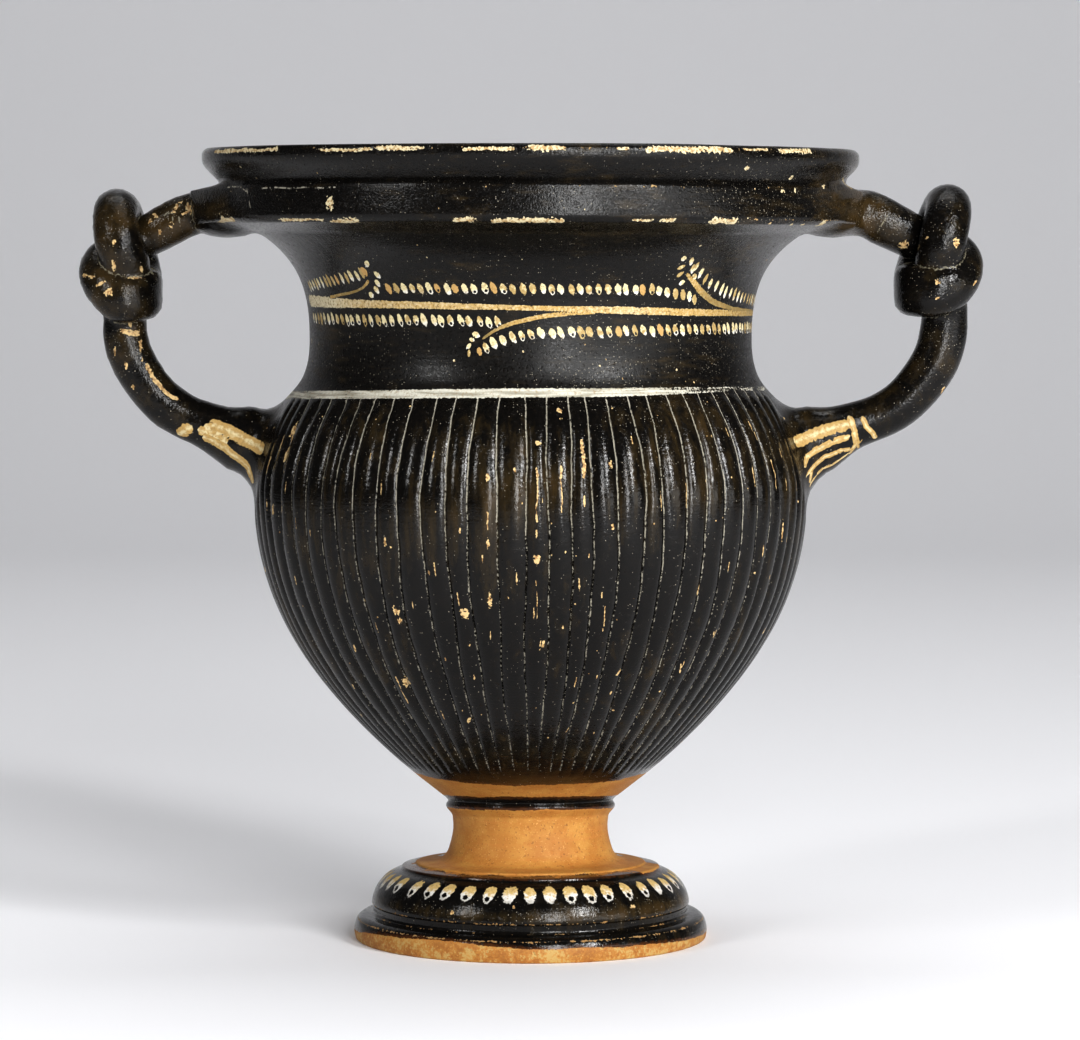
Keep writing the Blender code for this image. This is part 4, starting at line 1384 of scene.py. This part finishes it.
# the speck tone serves both dust and painted highlight sparkle
soilTones = {"grooves": (178, 173, 158), "folds": (138, 132, 112), "dustAndSparkle": (180, 172, 154)}
sheen = {  # roughness of the slip, what each region adds to it, and that of clay, paint and soil
    "slip": 0.34, "thinSlip": 0.06, "handles": -0.2, "bowl": -0.22, "rim": -0.15, "speckle": 0.5, "fine": 0.4,
    "matt": 0.5, "mattMottle": 0.16, "specular": 0.27, "glassiness": 1.5,
}
reliefHeights = {  # mm
    "speckle": 0.042, "fine": 0.038, "mottle": 0.02, "mottleOnHandles": 0.03, "waves": 0.05, "turning": 0.03,
    "paint": 0.06, "chips": -0.07, "pits": -0.06,
}


class Pottery(Workbench):
    def __init__(self):
        super().__init__("black_gloss_pottery")
        self.place = place = self.millimetres()
        apart = self.put("ShaderNodeSeparateXYZ", {0: place})
        self.height = Level(self, apart.outputs[2])
        self.onBody = 1.0 - self.ease(self.height, 107.0, 113.0)
        self.onHandle = self.ease(abs(Level(self, apart.outputs[0])), 60.0, 67.0)
        self.patchy = self.grain(place, 0.21, 4, 0.6)
        self.turning = self.grain(place, 0.3, 1, 0.6, (0.2, 0.2, 7))
        self.mottle = self.grain(place, 0.9, 4, 0.62)
        self.speckle = self.grain(place, 1.9, 3, 0.6)
        self.fine = self.grain(place, 3.1, 3, 0.65)
        self.streaky = self.grain(place, 0.5, 3, 0.6, (0.22, 0.22, 4))
        self.mottleOff, self.speckleOff = self.mottle - 0.5, self.speckle - 0.5
        self.slipEdge = self.field("slip")
        wobble = (self.patchy - 0.5) * 1.1 + self.speckleOff * 0.5
        self.covered = self.ease(self.slipEdge + wobble, -0.07, 0.07)
        self.readMark()

    def readMark(self):  # which mark it is, and how far out from its middle: 1 at its edge
        mark = self.put("ShaderNodeSeparateXYZ", {0: self.field("paint", "Vector")})
        self.along, self.across = Level(self, mark.outputs[0]), Level(self, mark.outputs[1])
        self.fade = self.field("paintFade")
        self.seed = self.maths("FRACT", mark.outputs[2])
        kind = self.maths("FLOOR", mark.outputs[2])
        self.isKind = {word: self.maths("COMPARE", kind, float(k), 0.5) for word, k in paintKinds.items()}
        isChip = self.isKind["chip"]
        power = 2.0 - self.isKind["leaf"] * 0.25  # leaves are pointed, the rest round
        egg = 1.0 - self.along * self.isKind["footDot"] * 0.1
        reach = (abs(self.across * egg) ** power + abs(self.along) ** power) ** (1.0 / power)
        ragged = self.speckleOff * (isChip * 1.9 + 0.7) + self.mottleOff * (isChip * 1.6 + 0.3)
        self.within = 1.0 - self.ease(reach + ragged, 0.9, 1.02)
        self.raised = self.within * self.maths("LESS_THAN", kind, paintKinds["handle"] + 0.5)

    def bareClay(self):  # with the lines left by turning, paler rubbed patches, and darker and browner in patches towards the foot's bottom edge
        blend, ease = self.blend, self.ease
        clay = blend(ease(self.patchy, 0.35, 0.68), clayTones["dark"], clayTones["light"])
        clay = blend(ease(self.mottle, 0.5, 0.78), clay, clayTones["mottled"])
        clay = blend(ease(self.turning, 0.5, 0.72) * 0.4, clay, clayTones["turned"])
        clay = blend(ease(self.fine, 0.58, 0.72) * 0.4, clay, clayTones["grit"])
        clay = blend(ease(self.speckle, 0.61, 0.66) * 0.5, clay, clayTones["iron"])
        footEdge = ease(self.height, 4.5, 2.5)
        pale = self.patchy * 0.5 + self.mottle * 0.5 + self.speckle * 0.45
        clay = blend(footEdge * ease(pale, 0.72, 0.79) * 0.85, clay, clayTones["rubbed"])
        # darker towards the bottom of the foot, browner in patches
        return blend(footEdge * (ease(pale, 0.7, 0.62) * 0.45 + 0.15), clay, clayTones["footDarkened"])

    def slipCoat(self):  # near black, browner where it ran thin, and browner in the painted sheen band low on the torus
        blend, ease = self.blend, self.ease
        downRibs = self.grain(self.place, 0.42, 4, 0.6, (1, 1, 0.1))
        roundNeck = self.grain(self.place, 0.16, 4, 0.6, (1, 1, 5))
        streaks = blend(self.onHandle, blend(self.onBody, roundNeck, downRibs), self.patchy)
        broad = self.grain(self.place, 0.045, 3)
        self.thinSlipAndSheen = streaks * 0.6 + broad * 0.4 + self.field("thinSlipAndSheen") * 0.16 + self.mottleOff * 0.12
        slip = blend(ease(self.mottle, 0.3, 0.75), slipTones["deep"], slipTones["soft"])
        slip = blend(ease(self.thinSlipAndSheen, 0.52, 0.7), slip, slipTones["thinSlipAndSheen"])
        slip = blend(ease(self.thinSlipAndSheen, 0.64, 0.8) * 0.55, slip, slipTones["thinnest"])
        hem = 1.0 - ease(self.slipEdge + self.mottleOff * 1.5, 0.0, 0.8)
        return blend(hem * 0.6, slip, slipTones["hem"])

    def wearThrough(self, slip):  # rubbed edges and chips
        blend, ease = self.blend, self.ease
        rubbedBare = self.field("wear") + self.mottleOff * 1.2 + self.speckleOff * 0.9
        bare = ease(rubbedBare, 0.6, 0.68)
        chipped = self.within * self.isKind["chip"]
        scratches = ease(self.grain(self.place, 1.5, 3, 0.7, (1, 1, 1.4)), 0.6, 0.68)
        self.hollow = self.larger(bare, chipped)
        self.worn = self.larger(bare, chipped * (1.0 - scratches))
        onNeck = ease(self.height, 112.0, 118.0) * (1.0 - self.onHandle)
        light = blend(onNeck, chipTones["low"], chipTones["high"])
        dark = blend(onNeck, chipTones["lowDark"], chipTones["highDark"])
        tone = blend(ease(self.speckle + self.mottleOff * 0.6, 0.44, 0.56), light, dark)
        return blend(self.worn, slip, tone)

    def paintShare(self):  # where paint is left, with the small dark rings in many leaves and dots
        isLine, fade = self.isKind["whiteLine"], self.fade
        ringed = ((self.along + 0.5) / 0.25) ** 2.0 + (self.across / 0.4) ** 2.0
        hole = 1.0 - self.ease(self.maths("SQRT", ringed) + self.speckleOff * 1.6, 0.85, 1.15)
        holed = self.maths("GREATER_THAN", fade, 0.5) * (self.isKind["leaf"] + self.isKind["footDot"])
        loss = isLine * (fade * 0.5 + self.streaky * 0.7 - 0.42) + isLine * abs(self.across) * 0.1
        eaten = self.grain(self.place, 2.4, 4, 0.7) + loss - self.isKind["handle"] * 0.06
        kept = (1.0 - self.ease(eaten, 0.66, 0.74)) * (1.0 - hole * holed)
        return self.raised * kept * (1.0 - self.worn * 0.8)

    def leafTone(self):
        blend, ease, seed = self.blend, self.ease, self.seed
        uneven = self.mottleOff * 1.6 + seed * 0.8 + 0.1
        tone = blend(ease(uneven, 0.4, 0.7), leafTones["cream"], leafTones["ochre"])
        tip = ease(self.along + self.mottleOff * 1.5, -0.15, -0.6) * ease(seed, 0.75, 0.6)
        tone = blend(tip * 0.85, tone, leafTones["tip"])
        return blend(ease(seed, 0.9, 0.92) * 0.8, tone, leafTones["ruddy"])

    def stemTone(self):
        blend, ease, speckle = self.blend, self.ease, self.speckle
        pale = self.fade + self.speckleOff * 0.35 + self.mottleOff * 0.55
        tone = blend(ease(pale, 0.0, 0.5), stemTones["dark"], stemTones["middle"])
        tone = blend(ease(pale, 0.5, 1.0), tone, stemTones["pale"])
        tone = blend(ease(speckle, 0.48, 0.4) * self.fade * 0.6, tone, stemTones["bright"])
        return blend(ease(speckle, 0.56, 0.64) * 0.75, tone, stemTones["pitted"])

    def dotTone(self):
        down = self.along + self.mottleOff * 2.2 + self.speckleOff * 1.2
        tone = self.blend(self.ease(down, 0.3, -0.45), dotTones["top"], dotTones["foot"])
        # painted shade: the lower tip of each dot is greyed
        return self.blend(self.ease(down, -0.5, -0.9) * 0.6, tone, dotTones["edge"])

    def paintTone(self):
        blend, ease = self.blend, self.ease
        worn = self.mottleOff * 1.8 + abs(self.across) * 0.8
        paint = blend(ease(worn, -0.1, 0.4), strokeTones["cream"], strokeTones["ochre"])
        paint = blend(self.isKind["leaf"], paint, self.leafTone())
        paint = blend(self.isKind["stem"], paint, self.stemTone())
        line = blend(ease(self.streaky, 0.4, 0.62), lineTones["white"], lineTones["grey"])
        paint = blend(self.isKind["whiteLine"], paint, line)
        paint = blend(self.isKind["footDot"], paint, self.dotTone())
        crackle = self.maths("LESS_THAN", abs(self.fine - 0.5), 0.02) * ease(self.mottle, 0.42, 0.55)
        paint = blend(crackle * 0.4, paint, agedTones["crackle"])
        return blend(ease(self.speckle, 0.53, 0.66) * 0.5, paint, agedTones["stain"])

    def soilDustAndSparkle(self, surface):  # a hairline in the grooves above, dotted farther down; and fine pale specks, partly dust and partly painted highlight sparkle
        ease, isCrack = self.ease, self.isKind["crack"]
        dashes = self.grain(self.place, 1.5, 4, 0.8) + (self.patchy - 0.5) * 0.35
        dashes = dashes + ease(self.height, 70.0, 106.0) * 0.15
        inGroove = ease(self.field("soil") + self.speckleOff * 0.9, 0.5, 0.8) * ease(dashes, 0.48, 0.6)
        self.caught = self.larger(inGroove, self.within * isCrack * ease(self.mottle, 0.44, 0.54))
        tone = self.blend(self.onHandle, soilTones["grooves"], soilTones["folds"])
        surface = self.blend(self.caught * 0.78, surface, tone)
        # pale specks: dust, and painted highlight sparkle where the speck field is strongest
        self.dustAndSparkle = self.spots(self.place, 2.5, self.field("dustAndSparkle") * 0.5 + 0.085, 0.28)
        return self.blend(self.dustAndSparkle * self.covered * 0.6, surface, soilTones["dustAndSparkle"])

    def roughness(self, painted):
        ease = self.ease
        gloss = ease(self.thinSlipAndSheen, 0.4, 0.75) * sheen["thinSlip"] + sheen["slip"]
        gloss = gloss + self.onHandle * (1.0 - self.onBody) * sheen["handles"] + self.onBody * sheen["bowl"]
        gloss = gloss + ease(self.height, 126.0, 142.0) * sheen["rim"]
        gloss = gloss + (self.fine - 0.5) * sheen["fine"] + self.speckleOff * sheen["speckle"]
        shine = self.covered * (1.0 - self.larger(self.worn, painted, self.caught, self.dustAndSparkle))
        matt = self.mottle * sheen["mattMottle"] + sheen["matt"]
        return gloss * shine + matt * (1.0 - shine)

    def relief(self):  # mm: grain, slow waves, turning lines, thick paint, chips and pits
        rise, ease = reliefHeights, self.ease
        grainy = self.speckle * rise["speckle"] + self.fine * rise["fine"]
        grainy = grainy * (ease(self.height, 138.0, 144.0) * 0.9 + self.onHandle * 0.7 + 1.0)
        lumpy = self.mottle * (self.onHandle * rise["mottleOnHandles"] + rise["mottle"])
        waves = self.grain(self.place, 0.36, 2) * rise["waves"] + self.turning * rise["turning"]
        pits = ease(self.mottle + self.speckle * 0.4, 0.84, 0.9) * rise["pits"]
        return grainy + lumpy + waves + self.raised * rise["paint"] + self.hollow * rise["chips"] + pits

    def finish(self):
        slip = self.wearThrough(self.slipCoat())
        painted = self.paintShare()
        slip = self.blend(painted, slip, self.paintTone())
        surface = self.soilDustAndSparkle(self.blend(self.covered, self.bareClay(), slip))
        inputs = self.shader.inputs
        self.feed(inputs["Base Color"], surface)
        self.feed(inputs["Roughness"], self.roughness(painted))
        bump = self.put("ShaderNodeBump", {"Height": self.relief(), "Distance": 0.001, "Strength": 0.9})
        self.feed(inputs["Normal"], bump.outputs[0])
        inputs["IOR"].default_value = sheen["glassiness"]
        inputs["Specular IOR Level"].default_value = sheen["specular"]
        return self.material


skin.materials.clear()
skin.polygons.foreach_set("material_index", [0] * faceCount)
skin.materials.append(Pottery().finish())
skin.shade_smooth()
skin.set_sharp_from_angle(angle=math.radians(50))

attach(vessel, "root")
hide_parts("krateriskos")
print("vessel dressed:", len(points), "points,", faceCount, "faces")
